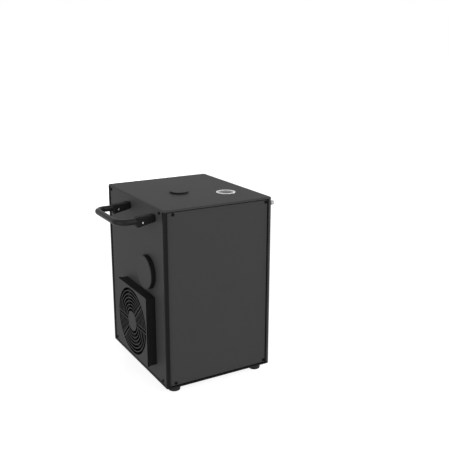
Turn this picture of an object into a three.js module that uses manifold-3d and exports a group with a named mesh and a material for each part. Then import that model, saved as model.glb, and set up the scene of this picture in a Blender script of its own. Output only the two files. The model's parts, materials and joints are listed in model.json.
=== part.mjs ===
// A cold spark machine: a floor-standing effects box that blows heated metal granules out of its top.
// Millimetres, +Z up, -Y is the front, and the carrying handle and the intake fan are on -X.
// The part's origin lies under the middle of its bounding box, on the floor.
import * as THREE from "three";
import { mergeVertices } from "three/addons/utils/BufferGeometryUtils.js";
import Module from "manifold-3d";

const wasm = await Module();
wasm.setup();

// Clearances and overruns
const snug = 0.3; // between pieces that fit in one another
const seam = 0.4; // around each inset panel
const overrun = 1; // how far a cutting shape runs past what it cuts

// Housing
const width = 198;
const depth = 236;
const height = 300;
const plate = 3; // base plate and top cover
const sheet = 1.5; // inset panels
const recess = 2; // from a post's outer face to a panel's
const strip = 6; // the width of a post that shows beside a panel
const flange = 22; // how far a post reaches behind a panel
const cornerRadius = 5;
const edgeRadius = 2.2; // round on the top cover's upper edge
const panelX = width / 2 - recess; // outer faces of the side panels
const panelY = depth / 2 - recess; // outer faces of the front and back panels
const wallX = panelX - sheet; // inner faces
const wallY = panelY - sheet;
const topZ = height - plate; // underside of the top cover

// Feet
const footRadius = 10.5;
const footHeight = 11;
const footTaper = 0.3;
const footEdge = 0.8;
const footFromSide = 20.5; // to a foot's middle
const footFromFront = 17.5;
const footX = width / 2 - footFromSide;
const footY = depth / 2 - footFromFront;

// Carrying handle
const handleDrop = 20.5; // below the top
const handleZ = height - handleDrop;
const handleInset = 88; // from the housing's front to the handle's middle
const handleY = handleInset - depth / 2;
const handleSpan = 100; // between the legs' centres
const handleReach = 66; // from the panel to the outside of the bar
const barRadius = 5;
const bendRadius = 16;
const barSides = 12;
const bendSteps = 5;
const socketLength = 32;
const socketHeight = 13;
const socketWidth = 14;
const socketRound = 3;
const socketDepth = 24; // how far the bar goes into a socket

// Intake fan and its cover
const fanSize = 120;
const coverSpare = 1; // from the fan's frame to the cover's outside
const coverSize = fanSize + 2 * coverSpare;
const coverBase = 26; // from the housing's bottom to the cover's
const fanInset = 102; // from the housing's front to the fan's axis
const fanY = fanInset - depth / 2;
const fanZ = coverBase + coverSize / 2;
const fanThickness = 25;
const fanScrewInset = 7.5; // from the frame's side to a screw hole
const fanPitch = fanSize - 2 * fanScrewInset;
const fanScrew = 4.4;
const fanCorner = 6;
const fanRim = 3; // of the frame beside its bore
const fanBore = fanSize / 2 - fanRim;
const coverDepth = 18;
const coverWall = 2;
const coverCorner = 2.5;
const coverRim = 3; // of the cover's face beside the grille
const grilleRadius = coverSize / 2 - coverRim;
const grilleHub = 17.5;
const grilleRings = 7;
const grilleBar = 2.1; // width of a ring between two slots
const spokeBar = 2; // each of a spoke's two bars
const spokeTurns = [0, (3 * Math.PI) / 4, Math.PI, (7 * Math.PI) / 4]; // one spoke lies level, the other crosses it at 45 degrees
const spokeGap = 3.4;
const statorHub = 18;
const statorStrut = 5;
const statorDepth = 4;
const rotorHub = 19;
const tipGap = 1.7;
const rotorTip = fanBore - tipGap;
const rotorLength = 19;
const rotorSkirt = 2;
const bladeCount = 7;
const bladeRootChord = 19;
const bladeTipChord = 30;
const bladeRootPitch = THREE.MathUtils.degToRad(46);
const bladeTipPitch = THREE.MathUtils.degToRad(27);
const bladeThickness = 1.6;
const fanShaft = 2.2;

// Blower on the left wall, with its round cover outside
const blowerCoverRadius = 28.3;
const blowerGap = 8.2; // between the two outer covers
const blowerInset = 65; // from the housing's front
const blowerY = blowerInset - depth / 2;
const blowerZ = coverBase + coverSize + blowerGap + blowerCoverRadius;
const blowerCoverDepth = 10;
const blowerCoverEdge = 1.4;
const blowerWidth = 34;
const scrollStart = 30; // radius at the tongue
const scrollEnd = 35.5; // radius where the outlet begins
const tongue = THREE.MathUtils.degToRad(-35);
const scrollReach = 40; // from the axis to the outlet's mouth
const impellerRadius = 27;
const impellerWidth = 22;
const impellerInlet = 20;
const vaneCount = 14;
const vaneThickness = 1.1;
const vaneDepth = 6;
const blowerMotorRadius = 15;
const blowerMotorLength = 17;
const blowerShaft = 2.5;

// Heater under the outlet
const outletX = -20;
const outletY = -12;
const outletCapRadius = 15.6;
const outletCapHeight = 3.3;
const outletCapEdge = 0.6;
const plugDepth = 9;
const plugWall = 1.6;
const nozzleBore = 8;
const nozzleNeck = 10.7;
const nozzleFlange = 20;
const nozzleSheet = 2;
const nozzleSkirt = 26; // length below the top cover
const barrelBore = 11;
const barrelWall = 3;
const barrelFlange = 22;
const collarThickness = 2;
const sleeveWall = 4;
const sleeveDrop = 12.7; // from the nozzle's skirt to the sleeve
const coilPitch = 6;
const coilTube = 2.2;
const coilSides = 5;
const coilSteps = 8;
const ductWall = 1.5;
const ductHeight = 20;
const ductBack = 17; // plan of the duct, from the housing's middle
const ductFront = -28;
const ductRight = -1;
const ductNeck = 33;

// Granule feed
const fillerX = 50;
const fillerY = -49;
const fillerRadius = 17.6;
const fillerBore = 12.5;
const fillerNeck = 14.7;
const fillerHeight = 0.8;
const fillerDepth = 14; // neck below the cover's top
const fillerLedge = 1.5; // that the cap's skirt stands on
const fillerCapWall = 1.6;
const fillerCapDepth = 8;
const fillerDish = 1.4;
const fillerGrip = 3;
const hopperSheet = 1.2;
const hopperWidth = 58;
const hopperLength = 84;
const hopperShift = 8; // of the bin's middle behind the filler
const hopperSlopeShare = 0.57; // share of the hopper's height that narrows
const throatX = 39;
const throatWidth = 18;
const throatLength = 17;
const tubeRadius = 9;
const tubeBore = 7.5;
const inletLength = 14;
const inletWidth = 11;
const screwRadius = 7.1;
const screwShaft = 2.5;
const screwPitch = 13;
const flightThickness = 1.6;
const flightSteps = 8;
const bracketX = 62; // near face of the feed bracket
const bracketSheet = 2;
const bracketFoot = 24;
const bracketMargin = 4;
const gearModule = 1.9;
const screwTeeth = 24;
const motorTeeth = 16;
const gearWidth = 6;
const gearGap = 2; // from the bracket to the gears
const addendum = 0.7 * gearModule;
const dedendum = gearModule;
const toothShare = 0.42; // of the circular pitch
const pressureAngle = THREE.MathUtils.degToRad(20);
const motorRadius = 18;
const motorLength = 42;
const motorBoss = 6;
const motorShaftDepth = 8;

// Inner deck, power supply and driver
const deckSheet = 1.5;
const deckZ = blowerZ - scrollEnd; // upper face, level with the blower's outlet
const feedShare = 14 / 37; // of the space between the deck and the top
const feedZ = deckZ + (topZ - deckZ) * feedShare;
const deckLeft = -64;
const deckRight = wallX - sheet;
const deckMargin = 14.5; // to the front panel
const socketRoom = 28.5; // behind the back panel
const deckFront = deckMargin - wallY;
const deckBack = wallY - socketRoom;
const supplyWidth = 120;
const supplyLength = 90;
const supplyHeight = 40;
const supplyX = 10;
const supplyMargin = 19.5; // to the front panel
const supplyY = supplyMargin + supplyLength / 2 - wallY;
const terminalShelf = 16;
const terminalDepth = 18;
const terminalRib = 2;
const terminalRise = 8;
const terminalRibs = 6;
const boardThickness = 1.6;
const boardRise = 6; // of a board above what carries it
const standoffRadius = 3;
const driverWidth = 86;
const driverX = -4;
const driverMargin = 1; // to the deck's back edge
const driverGap = 18; // to the duct
const driverLength = deckBack - ductBack - driverMargin - driverGap;
const driverY = deckBack - driverMargin - driverLength / 2;
const sinkWidth = 62;
const sinkBase = 4;
const sinkHeight = 26;
const sinkFins = 9;
const sinkFin = 1.8;

// Control panel on the back
const displayWidth = 66;
const displayHeight = 30;
const displayDrop = 54; // below the top
const displayZ = height - displayDrop;
const displayProud = 2;
const displayFrame = 4;
const displayLens = 1;
const buttonDrop = 34; // below the display's middle
const buttonZ = displayZ - buttonDrop;
const buttonPitch = 20;
const buttonRadius = 4.5;
const buttonProud = 3;
const buttonTravel = 1.2;
const buttonCollar = 6.2;
const buttonCollarDepth = 1.4;
const buttonNames = ["menu", "down", "up", "enter"];
const controlWidth = 92;
const controlHeight = 60;
const controlRise = 10;
const tactHeight = 3;
const tactSize = 6;

// Sockets on the back
const socketFaceWidth = 26;
const socketFaceHeight = 31;
const socketFaceRound = 3;
const socketProud = 2;
const socketPitch = 56;
const dataShare = 0.58; // of the housing's height
const powerShare = 0.38;
const dataZ = height * dataShare;
const powerZ = height * powerShare;
const socketRadius = 11.6;
const socketInside = 22; // depth behind the panel's outer face
const dataBore = 7.7;
const dataPin = 1.2;
const dataPinCircle = 3.9;
const dataPinLength = 12;
const powerBore = 9.8;
const powerCore = 3.8;
const powerBoreDepth = 17;
const powerKey = 3;

// Switch and fuse on the back
const switchX = 28;
const lowerShare = 0.2;
const lowerZ = height * lowerShare;
const switchWidth = 15;
const switchHeight = 21.5;
const switchFrame = 2;
const switchProud = 2;
const switchInside = 16;
const rockerRadius = 8.8;
const rockerTilt = THREE.MathUtils.degToRad(8);
const rockerCrest = 3.2;
const fuseX = -28;
const fuseFlange = 9;
const fuseBody = 7.2;
const fuseProud = 2.5;
const fuseInside = 24;
const fuseCapRadius = 5.6;
const fuseCapProud = 8;
const fuseSlot = 1.6;

// Small things on the sides
const ventSlots = 9;
const ventWidth = 70;
const ventSlot = 4;
const ventPitch = 9;
const ventZ = 70;
const studRadius = 4;
const studProud = 6;
const studInset = 13; // from the front
const studDrop = 7; // below the top
const studY = studInset - depth / 2;
const studZ = height - studDrop;

// Materials
const finish = (color, roughness, metalness) =>
  new THREE.MeshStandardMaterial({ color, roughness, metalness });
const coated = finish(0x2a2a2b, 0.62, 0.1);
const gloss = finish(0x0d0d0e, 0.28, 0.1);
const plastic = finish(0x141415, 0.5, 0);
const grip = finish(0x18181a, 0.42, 0);
const rubber = finish(0x0e0e0e, 0.85, 0);
const chrome = finish(0xd8d9db, 0.12, 1);
const zinc = finish(0x9a9c9e, 0.42, 0.9);
const aluminium = finish(0xb4b6b9, 0.4, 0.9);
const steel = finish(0x8d9093, 0.35, 0.9);
const copper = finish(0xb4683c, 0.3, 0.9);
const ceramic = finish(0xe6e0d2, 0.75, 0);
const board = finish(0x1f5a34, 0.6, 0);
const lens = finish(0x0a0d12, 0.08, 0);
const brass = finish(0xb08d4a, 0.3, 0.9);

// A geometry with merged corners, whose faces point out
function closed(geometry) {
  const bare = geometry.clone();
  for (const name of Object.keys(bare.attributes)) if (name !== "position") bare.deleteAttribute(name);
  const merged = mergeVertices(bare, 1e-4);
  const p = merged.attributes.position;
  const index = merged.index.array;
  const [a, b, c] = [new THREE.Vector3(), new THREE.Vector3(), new THREE.Vector3()];
  let volume = 0;
  for (let i = 0; i < index.length; i += 3) {
    a.fromBufferAttribute(p, index[i]);
    b.fromBufferAttribute(p, index[i + 1]);
    c.fromBufferAttribute(p, index[i + 2]);
    volume += a.dot(b.cross(c));
  }
  if (volume < 0)
    for (let i = 0; i < index.length; i += 3) [index[i + 1], index[i + 2]] = [index[i + 2], index[i + 1]];
  return merged;
}

function solid(geometry) {
  const g = closed(geometry);
  const vertProperties = new Float32Array(g.attributes.position.array);
  return new wasm.Manifold(new wasm.Mesh({ numProp: 3, vertProperties, triVerts: new Uint32Array(g.index.array) }));
}

function geometryOf(manifold) {
  const mesh = manifold.getMesh();
  return new THREE.BufferGeometry()
    .setAttribute("position", new THREE.BufferAttribute(mesh.vertProperties, 3))
    .setIndex(new THREE.BufferAttribute(mesh.triVerts, 1));
}

const join = (...parts) => geometryOf(parts.map(solid).reduce((all, one) => all.add(one)));
const cut = (body, ...tools) => geometryOf(tools.map(solid).reduce((all, one) => all.subtract(one), solid(body)));

// Outlines
const outline = (points) => new THREE.Shape(points.map(([x, y]) => new THREE.Vector2(x, y)));

function rectangle(w, h, x = 0, y = 0) {
  return outline([[x - w / 2, y - h / 2], [x + w / 2, y - h / 2], [x + w / 2, y + h / 2], [x - w / 2, y + h / 2]]);
}

function arc(r, from, to, steps, x = 0, y = 0) {
  return Array.from({ length: steps + 1 }, (_, k) => {
    const a = from + ((to - from) * k) / steps;
    return [x + r * Math.cos(a), y + r * Math.sin(a)];
  });
}

const quarters = [0, 1, 2, 3].map((k) => (k * Math.PI) / 2);

function rounded(w, h, r, x = 0, y = 0, steps = 3) {
  const [dx, dy] = [w / 2 - r, h / 2 - r];
  const middles = [[x + dx, y + dy], [x - dx, y + dy], [x - dx, y - dy], [x + dx, y - dy]];
  return outline(quarters.flatMap((turn, k) => arc(r, turn, turn + Math.PI / 2, steps, ...middles[k])));
}

// A slot with half-round ends
function stadium(w, h, x = 0, y = 0) {
  const reach = (w - h) / 2;
  const right = arc(h / 2, -Math.PI / 2, Math.PI / 2, 4, x + reach, y);
  return outline([...right, ...arc(h / 2, Math.PI / 2, 1.5 * Math.PI, 4, x - reach, y)]);
}

function circle(r, x = 0, y = 0, sides = 16) {
  return outline(arc(r, 0, 2 * Math.PI, sides, x, y).slice(0, sides));
}

// The space between two concentric arcs and the sides of two radial bars
function sector(inner, outer, halfBar, from, to, steps = 8) {
  const edge = (r) => [from + Math.asin(halfBar / r), to - Math.asin(halfBar / r)];
  return outline([...arc(outer, ...edge(outer), steps), ...arc(inner, ...edge(inner), steps).reverse()]);
}

// Extrusions along each axis, from one level to another
function along(axis, shape, low, high, holes = []) {
  shape.holes.push(...holes);
  const g = new THREE.ExtrudeGeometry(shape, { depth: high - low, bevelEnabled: false });
  if (axis === "z") return g.translate(0, 0, low);
  if (axis === "y") return g.rotateX(Math.PI / 2).translate(0, high, 0);
  const basis = new THREE.Matrix4().makeBasis(
    new THREE.Vector3(0, 1, 0),
    new THREE.Vector3(0, 0, 1),
    new THREE.Vector3(1, 0, 0),
  );
  return g.applyMatrix4(basis).translate(low, 0, 0);
}

// A profile of [radius, level] points turned round an axis
function turned(axis, profile, segments = 16) {
  const g = new THREE.LatheGeometry(profile.map(([r, level]) => new THREE.Vector2(r, level)), segments);
  if (axis === "z") return g.rotateX(Math.PI / 2);
  if (axis === "x") return g.rotateZ(-Math.PI / 2);
  return g;
}

const disc = (axis, r, low, high, segments = 16) =>
  turned(axis, [[0, low], [r, low], [r, high], [0, high]], segments);
const pipe = (axis, bore, r, low, high, segments = 16) =>
  turned(axis, [[bore, low], [r, low], [r, high], [bore, high], [bore, low]], segments);

// A skin through rings of equal count, each a convex loop of [x, y, z] points
function loft(rings) {
  const n = rings[0].length;
  const index = [];
  for (let k = 0; k + 1 < rings.length; k++)
    for (let i = 0; i < n; i++) {
      const [a, b] = [k * n + i, k * n + ((i + 1) % n)];
      index.push(a, b, b + n, a, b + n, a + n);
    }
  const last = (rings.length - 1) * n;
  for (let i = 1; i + 1 < n; i++) index.push(0, i + 1, i, last, last + i, last + i + 1);
  return new THREE.BufferGeometry()
    .setAttribute("position", new THREE.Float32BufferAttribute(rings.flat(2), 3))
    .setIndex(index);
}

const part = new THREE.Group();

function piece(name, geometry, material, x = 0, y = 0, z = 0, parent = part) {
  const mesh = new THREE.Mesh(closed(geometry), material);
  mesh.name = name;
  mesh.position.set(x, y, z);
  parent.add(mesh);
  return mesh;
}

// Housing: base plate, top cover, four corner posts and four inset panels
function buildPlates() {
  piece("base_plate", along("z", rounded(width, depth, cornerRadius), 0, plate), coated);

  const steps = 3;
  const rim = (inset, z) =>
    rounded(width - 2 * inset, depth - 2 * inset, cornerRadius - inset)
      .getPoints()
      .map((p) => [p.x, p.y, z]);
  const rings = [rim(0, topZ), rim(0, height - edgeRadius)];
  for (let k = 1; k <= steps; k++) {
    const a = (k / steps) * (Math.PI / 2);
    rings.push(rim(edgeRadius * (1 - Math.cos(a)), height - edgeRadius * (1 - Math.sin(a))));
  }
  const drill = (x, y, r) => disc("z", r, topZ - overrun, height + overrun, 28).translate(x, y, 0);
  piece(
    "top_cover",
    cut(loft(rings), drill(outletX, outletY, nozzleNeck + snug), drill(fillerX, fillerY, fillerNeck + snug)),
    coated,
  );
}

function postShape(sx, sy) {
  const seat = recess + sheet;
  const inner = seat + sheet;
  const steps = 4;
  const corner = [];
  for (let k = 0; k <= steps; k++) {
    const a = (k / steps) * (Math.PI / 2);
    corner.push([cornerRadius * (1 - Math.sin(a)), cornerRadius * (1 - Math.cos(a))]);
  }
  const points = [
    ...corner,
    [0, strip],
    [seat, strip],
    [seat, flange],
    [inner, flange],
    [inner, strip],
    [strip, strip],
    [strip, inner],
    [flange, inner],
    [flange, seat],
    [strip, seat],
    [strip, 0],
  ];
  return outline(points.map(([x, y]) => [sx * (width / 2 - x), sy * (depth / 2 - y)]));
}

function buildPosts() {
  for (const [side, sx] of [["left", -1], ["right", 1]])
    for (const [end, sy] of [["front", -1], ["back", 1]])
      piece(`post_${end}_${side}`, along("z", postShape(sx, sy), plate, topZ), gloss);
}

const panelTall = topZ - plate - 2 * seam;
const panelMiddle = (topZ + plate) / 2;
const frontWide = width - 2 * (strip + seam);
const sideWide = depth - 2 * (strip + seam);

function buildPanels() {
  const upright = (w) => rectangle(w, panelTall, 0, panelMiddle);
  piece("front_panel", along("y", upright(frontWide), -panelY, -wallY), coated);

  const backHoles = [
    rectangle(displayWidth - 2 * displayFrame, displayHeight - 2 * displayFrame, 0, displayZ),
    ...buttonNames.map((_, k) => circle(buttonRadius + snug, buttonX(k), buttonZ)),
    ...[dataZ, powerZ].flatMap((z) => [-1, 1].map((s) => circle(socketRadius + snug, (s * socketPitch) / 2, z))),
    rectangle(switchWidth + 2 * snug, switchHeight + 2 * snug, switchX, lowerZ),
    circle(fuseBody + snug, fuseX, lowerZ),
  ];
  piece("back_panel", along("y", upright(frontWide), wallY, panelY, backHoles), coated);

  const leftHoles = [circle(fanBore, fanY, fanZ, 40), circle(blowerMotorRadius + snug, blowerY, blowerZ)];
  piece("left_panel", along("x", upright(sideWide), -panelX, -wallX, leftHoles), coated);

  const vents = [];
  for (let k = 0; k < ventSlots; k++)
    vents.push(stadium(ventWidth, ventSlot, 0, ventZ + (k - (ventSlots - 1) / 2) * ventPitch));
  piece("right_panel", along("x", upright(sideWide), wallX, panelX, vents), coated);
}

const buttonX = (k) => (k - (buttonNames.length - 1) / 2) * buttonPitch;

function buildFeet() {
  const profile = [
    [0, footHeight],
    [footRadius, footHeight],
    [footRadius - footTaper, footEdge],
    [footRadius - footTaper - footEdge, 0],
    [0, 0],
  ];
  for (const [side, sx] of [["left", -1], ["right", 1]])
    for (const [end, sy] of [["front", -1], ["back", 1]])
      piece(`foot_${end}_${side}`, turned("z", profile), rubber, sx * footX, sy * footY, -footHeight);
}

// Handle: a bent round bar held in two sockets on the left panel
function buildHandle() {
  const handle = new THREE.Group();
  handle.position.set(-panelX, handleY, handleZ);
  part.add(handle);

  const reach = -(handleReach - barRadius);
  const start = -(socketLength - socketDepth);
  const leg = handleSpan / 2;
  const corner = (x0, y0, x1, y1, x2, y2) =>
    new THREE.QuadraticBezierCurve3(
      new THREE.Vector3(x0, y0, 0),
      new THREE.Vector3(x1, y1, 0),
      new THREE.Vector3(x2, y2, 0),
    );
  const bends = [
    corner(reach + bendRadius, -leg, reach, -leg, reach, -leg + bendRadius),
    corner(reach, leg - bendRadius, reach, leg, reach + bendRadius, leg),
  ];
  const route = [new THREE.Vector3(start, -leg, 0)];
  for (const bend of bends) route.push(...bend.getPoints(bendSteps));
  route.push(new THREE.Vector3(start, leg, 0));
  const rings = route.map((p, k) => {
    const before = route[Math.max(k - 1, 0)];
    const after = route[Math.min(k + 1, route.length - 1)];
    const normal = after.clone().sub(before).setZ(0).normalize();
    const side = new THREE.Vector3(-normal.y, normal.x, 0);
    return Array.from({ length: barSides }, (_, i) => {
      const a = (i / barSides) * 2 * Math.PI;
      const out = barRadius * Math.cos(a);
      return [p.x + side.x * out, p.y + side.y * out, barRadius * Math.sin(a)];
    });
  });
  piece("handle_bar", loft(rings), grip, 0, 0, 0, handle);

  for (const [end, sy] of [["front", -1], ["back", 1]]) {
    const block = along("x", rounded(socketWidth, socketHeight, socketRound), -socketLength, 0);
    const bore = disc("x", barRadius + snug, -socketLength - overrun, start + snug, barSides);
    piece(`handle_socket_${end}`, cut(block, bore), plastic, 0, sy * leg, 0, handle);
  }
}

// Intake fan: cover with its grille outside the panel, frame and rotor inside
function buildFan() {
  const fan = new THREE.Group();
  fan.position.set(0, fanY, fanZ);
  part.add(fan);

  const outer = -panelX - coverDepth;
  const slot = (grilleRadius - grilleHub - (grilleRings - 1) * grilleBar) / grilleRings;
  const halfSpoke = spokeGap / 2 + spokeBar;
  const slots = [];
  for (let ring = 0; ring < grilleRings; ring++) {
    const inner = grilleHub + ring * (slot + grilleBar);
    spokeTurns.forEach((from, k) => {
      const to = spokeTurns[k + 1] ?? 2 * Math.PI;
      const steps = Math.ceil(((3 + ring / 2) * (to - from)) / (Math.PI / 2));
      slots.push(sector(inner, inner + slot, halfSpoke, from, to, steps));
    });
  }
  for (const turn of spokeTurns) {
    const [c, s] = [Math.cos(turn), Math.sin(turn)];
    const corners = [[grilleHub, -1], [grilleRadius, -1], [grilleRadius, 1], [grilleHub, 1]];
    slots.push(
      outline(
        corners.map(([r, side]) => {
          const across = (side * spokeGap) / 2;
          return [r * c - across * s, r * s + across * c];
        }),
      ),
    );
  }
  const inside = coverSize - 2 * coverWall;
  const square = (size, round) => rounded(size, size, round);
  const face = along("x", square(coverSize, coverCorner), outer, outer + sheet, slots);
  const walls = along("x", square(coverSize, coverCorner), outer + sheet, -panelX, [rectangle(inside, inside)]);
  piece("fan_cover", join(face, walls), coated, 0, 0, 0, fan);

  const near = -wallX;
  const far = near + fanThickness;
  const screws = () =>
    quarters.map((turn) => {
      const r = fanPitch / Math.SQRT2;
      return circle(fanScrew / 2, r * Math.cos(turn + Math.PI / 4), r * Math.sin(turn + Math.PI / 4), 8);
    });
  const tunnel = along("x", square(fanSize, fanCorner), near, far - statorDepth, [circle(fanBore, 0, 0, 40), ...screws()]);
  const struts = quarters.map((turn) =>
    sector(statorHub, fanBore, statorStrut / 2, turn, turn + Math.PI / 2, 8),
  );
  const stator = along("x", square(fanSize, fanCorner), far - statorDepth, far, [...struts, circle(fanShaft + snug, 0, 0, 12), ...screws()]);
  piece("fan_frame", join(tunnel, stator), plastic, 0, 0, 0, fan);

  const back = far - statorDepth - snug;
  const front = back - rotorLength;
  const hub = turned("x", [
    [0, front],
    [rotorHub - rotorSkirt, front],
    [rotorHub, front + rotorSkirt],
    [rotorHub, back],
    [fanShaft, back],
    [fanShaft, far],
    [0, far],
  ]);
  const middle = (front + rotorSkirt + back) / 2;
  const blades = [];
  for (let k = 0; k < bladeCount; k++) blades.push(blade((k / bladeCount) * 2 * Math.PI, middle));
  piece("fan_rotor", join(hub, ...blades), plastic, 0, 0, 0, fan);
}

// One twisted fan blade, from inside the hub to the tip
function blade(turn, middle) {
  const radialShares = [0, 0.5, 1];
  const chordShares = [-0.5, -0.17, 0.17, 0.5];
  const root = rotorHub - 1.5 * bladeThickness;
  const rings = radialShares.map((share) => {
    const r = root + (rotorTip - root) * share;
    const chord = bladeRootChord + (bladeTipChord - bladeRootChord) * share;
    const pitch = bladeRootPitch + (bladeTipPitch - bladeRootPitch) * share;
    const point = (along, lift) => {
      const across = chord * along * Math.cos(pitch) - lift * Math.sin(pitch);
      const axial = chord * along * Math.sin(pitch) + lift * Math.cos(pitch);
      const a = turn + across / r;
      return [middle + axial, r * Math.cos(a), r * Math.sin(a)];
    };
    return [
      ...chordShares.map((along) => point(along, -bladeThickness / 2)),
      ...[...chordShares].reverse().map((along) => point(along, bladeThickness / 2)),
    ];
  });
  return loft(rings);
}

// Blower: scroll and lid, impeller and motor inside, round cover outside
function buildBlower() {
  const blower = new THREE.Group();
  blower.position.set(0, blowerY, blowerZ);
  part.add(blower);

  const outer = -panelX - blowerCoverDepth;
  const edge = blowerCoverEdge;
  const cup = turned(
    "x",
    [
      [0, outer],
      [blowerCoverRadius - edge, outer],
      [blowerCoverRadius, outer + edge],
      [blowerCoverRadius, -panelX],
      [blowerCoverRadius - sheet, -panelX],
      [blowerCoverRadius - sheet, outer + sheet],
      [0, outer + sheet],
    ],
    28,
  );
  piece("blower_cover", cup, coated, 0, 0, 0, blower);

  const near = -wallX;
  const far = near + blowerWidth;
  const spiral = (inset) => {
    const points = [];
    const steps = 20;
    for (let k = 0; k <= steps; k++) {
      const a = tongue + (k / steps) * (1.5 * Math.PI - tongue);
      const r = scrollStart + ((scrollEnd - scrollStart) * k) / steps - inset;
      points.push([r * Math.cos(a), r * Math.sin(a)]);
    }
    const mouth = scrollReach + (inset ? overrun : 0);
    points.push([mouth, -scrollEnd + inset], [mouth, scrollStart * Math.sin(tongue) - inset]);
    return outline(points);
  };
  const shell = along("x", spiral(0), near, far - sheet);
  const hollow = along("x", spiral(sheet), near + sheet, far);
  const motorHole = disc("x", blowerMotorRadius + snug, near - overrun, near + sheet + overrun);
  piece("blower_scroll", cut(shell, hollow, motorHole), zinc, 0, 0, 0, blower);
  piece("blower_lid", along("x", spiral(0), far - sheet, far, [circle(impellerInlet)]), zinc, 0, 0, 0, blower);

  const motorEnd = -panelX - blowerCoverDepth + sheet + snug;
  const motorFace = motorEnd + blowerMotorLength;
  const shaftEnd = far - 2 * sheet - snug;
  const motor = turned("x", [
    [0, motorEnd],
    [blowerMotorRadius, motorEnd],
    [blowerMotorRadius, motorFace],
    [blowerShaft + snug, motorFace],
    [blowerShaft + snug, motorEnd + sheet],
    [0, motorEnd + sheet],
  ]);
  piece("blower_motor", motor, steel, 0, 0, 0, blower);

  const disk = motorFace + snug;
  const rimEnd = disk + impellerWidth;
  const backplate = turned("x", [
    [0, motorEnd + sheet + snug],
    [blowerShaft, motorEnd + sheet + snug],
    [blowerShaft, disk],
    [impellerRadius, disk],
    [impellerRadius, disk + sheet],
    [blowerShaft + sheet, disk + sheet],
    [blowerShaft + sheet, Math.min(shaftEnd, disk + impellerWidth / 2)],
    [0, Math.min(shaftEnd, disk + impellerWidth / 2)],
  ]);
  const rim = pipe("x", impellerRadius - vaneDepth / 2, impellerRadius, rimEnd - sheet, rimEnd);
  const vanes = [];
  for (let k = 0; k < vaneCount; k++) {
    const a = (k / vaneCount) * 2 * Math.PI;
    const lean = Math.PI / 8;
    const middle = impellerRadius - vaneDepth / 2 - vaneThickness / 2;
    const vane = along("x", rectangle(vaneDepth, vaneThickness), disk + sheet / 2, rimEnd - sheet / 2)
      .rotateX(lean)
      .translate(0, middle, 0)
      .rotateX(a);
    vanes.push(vane);
  }
  piece("blower_impeller", join(backplate, rim, ...vanes), plastic, 0, 0, 0, blower);
}

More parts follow.
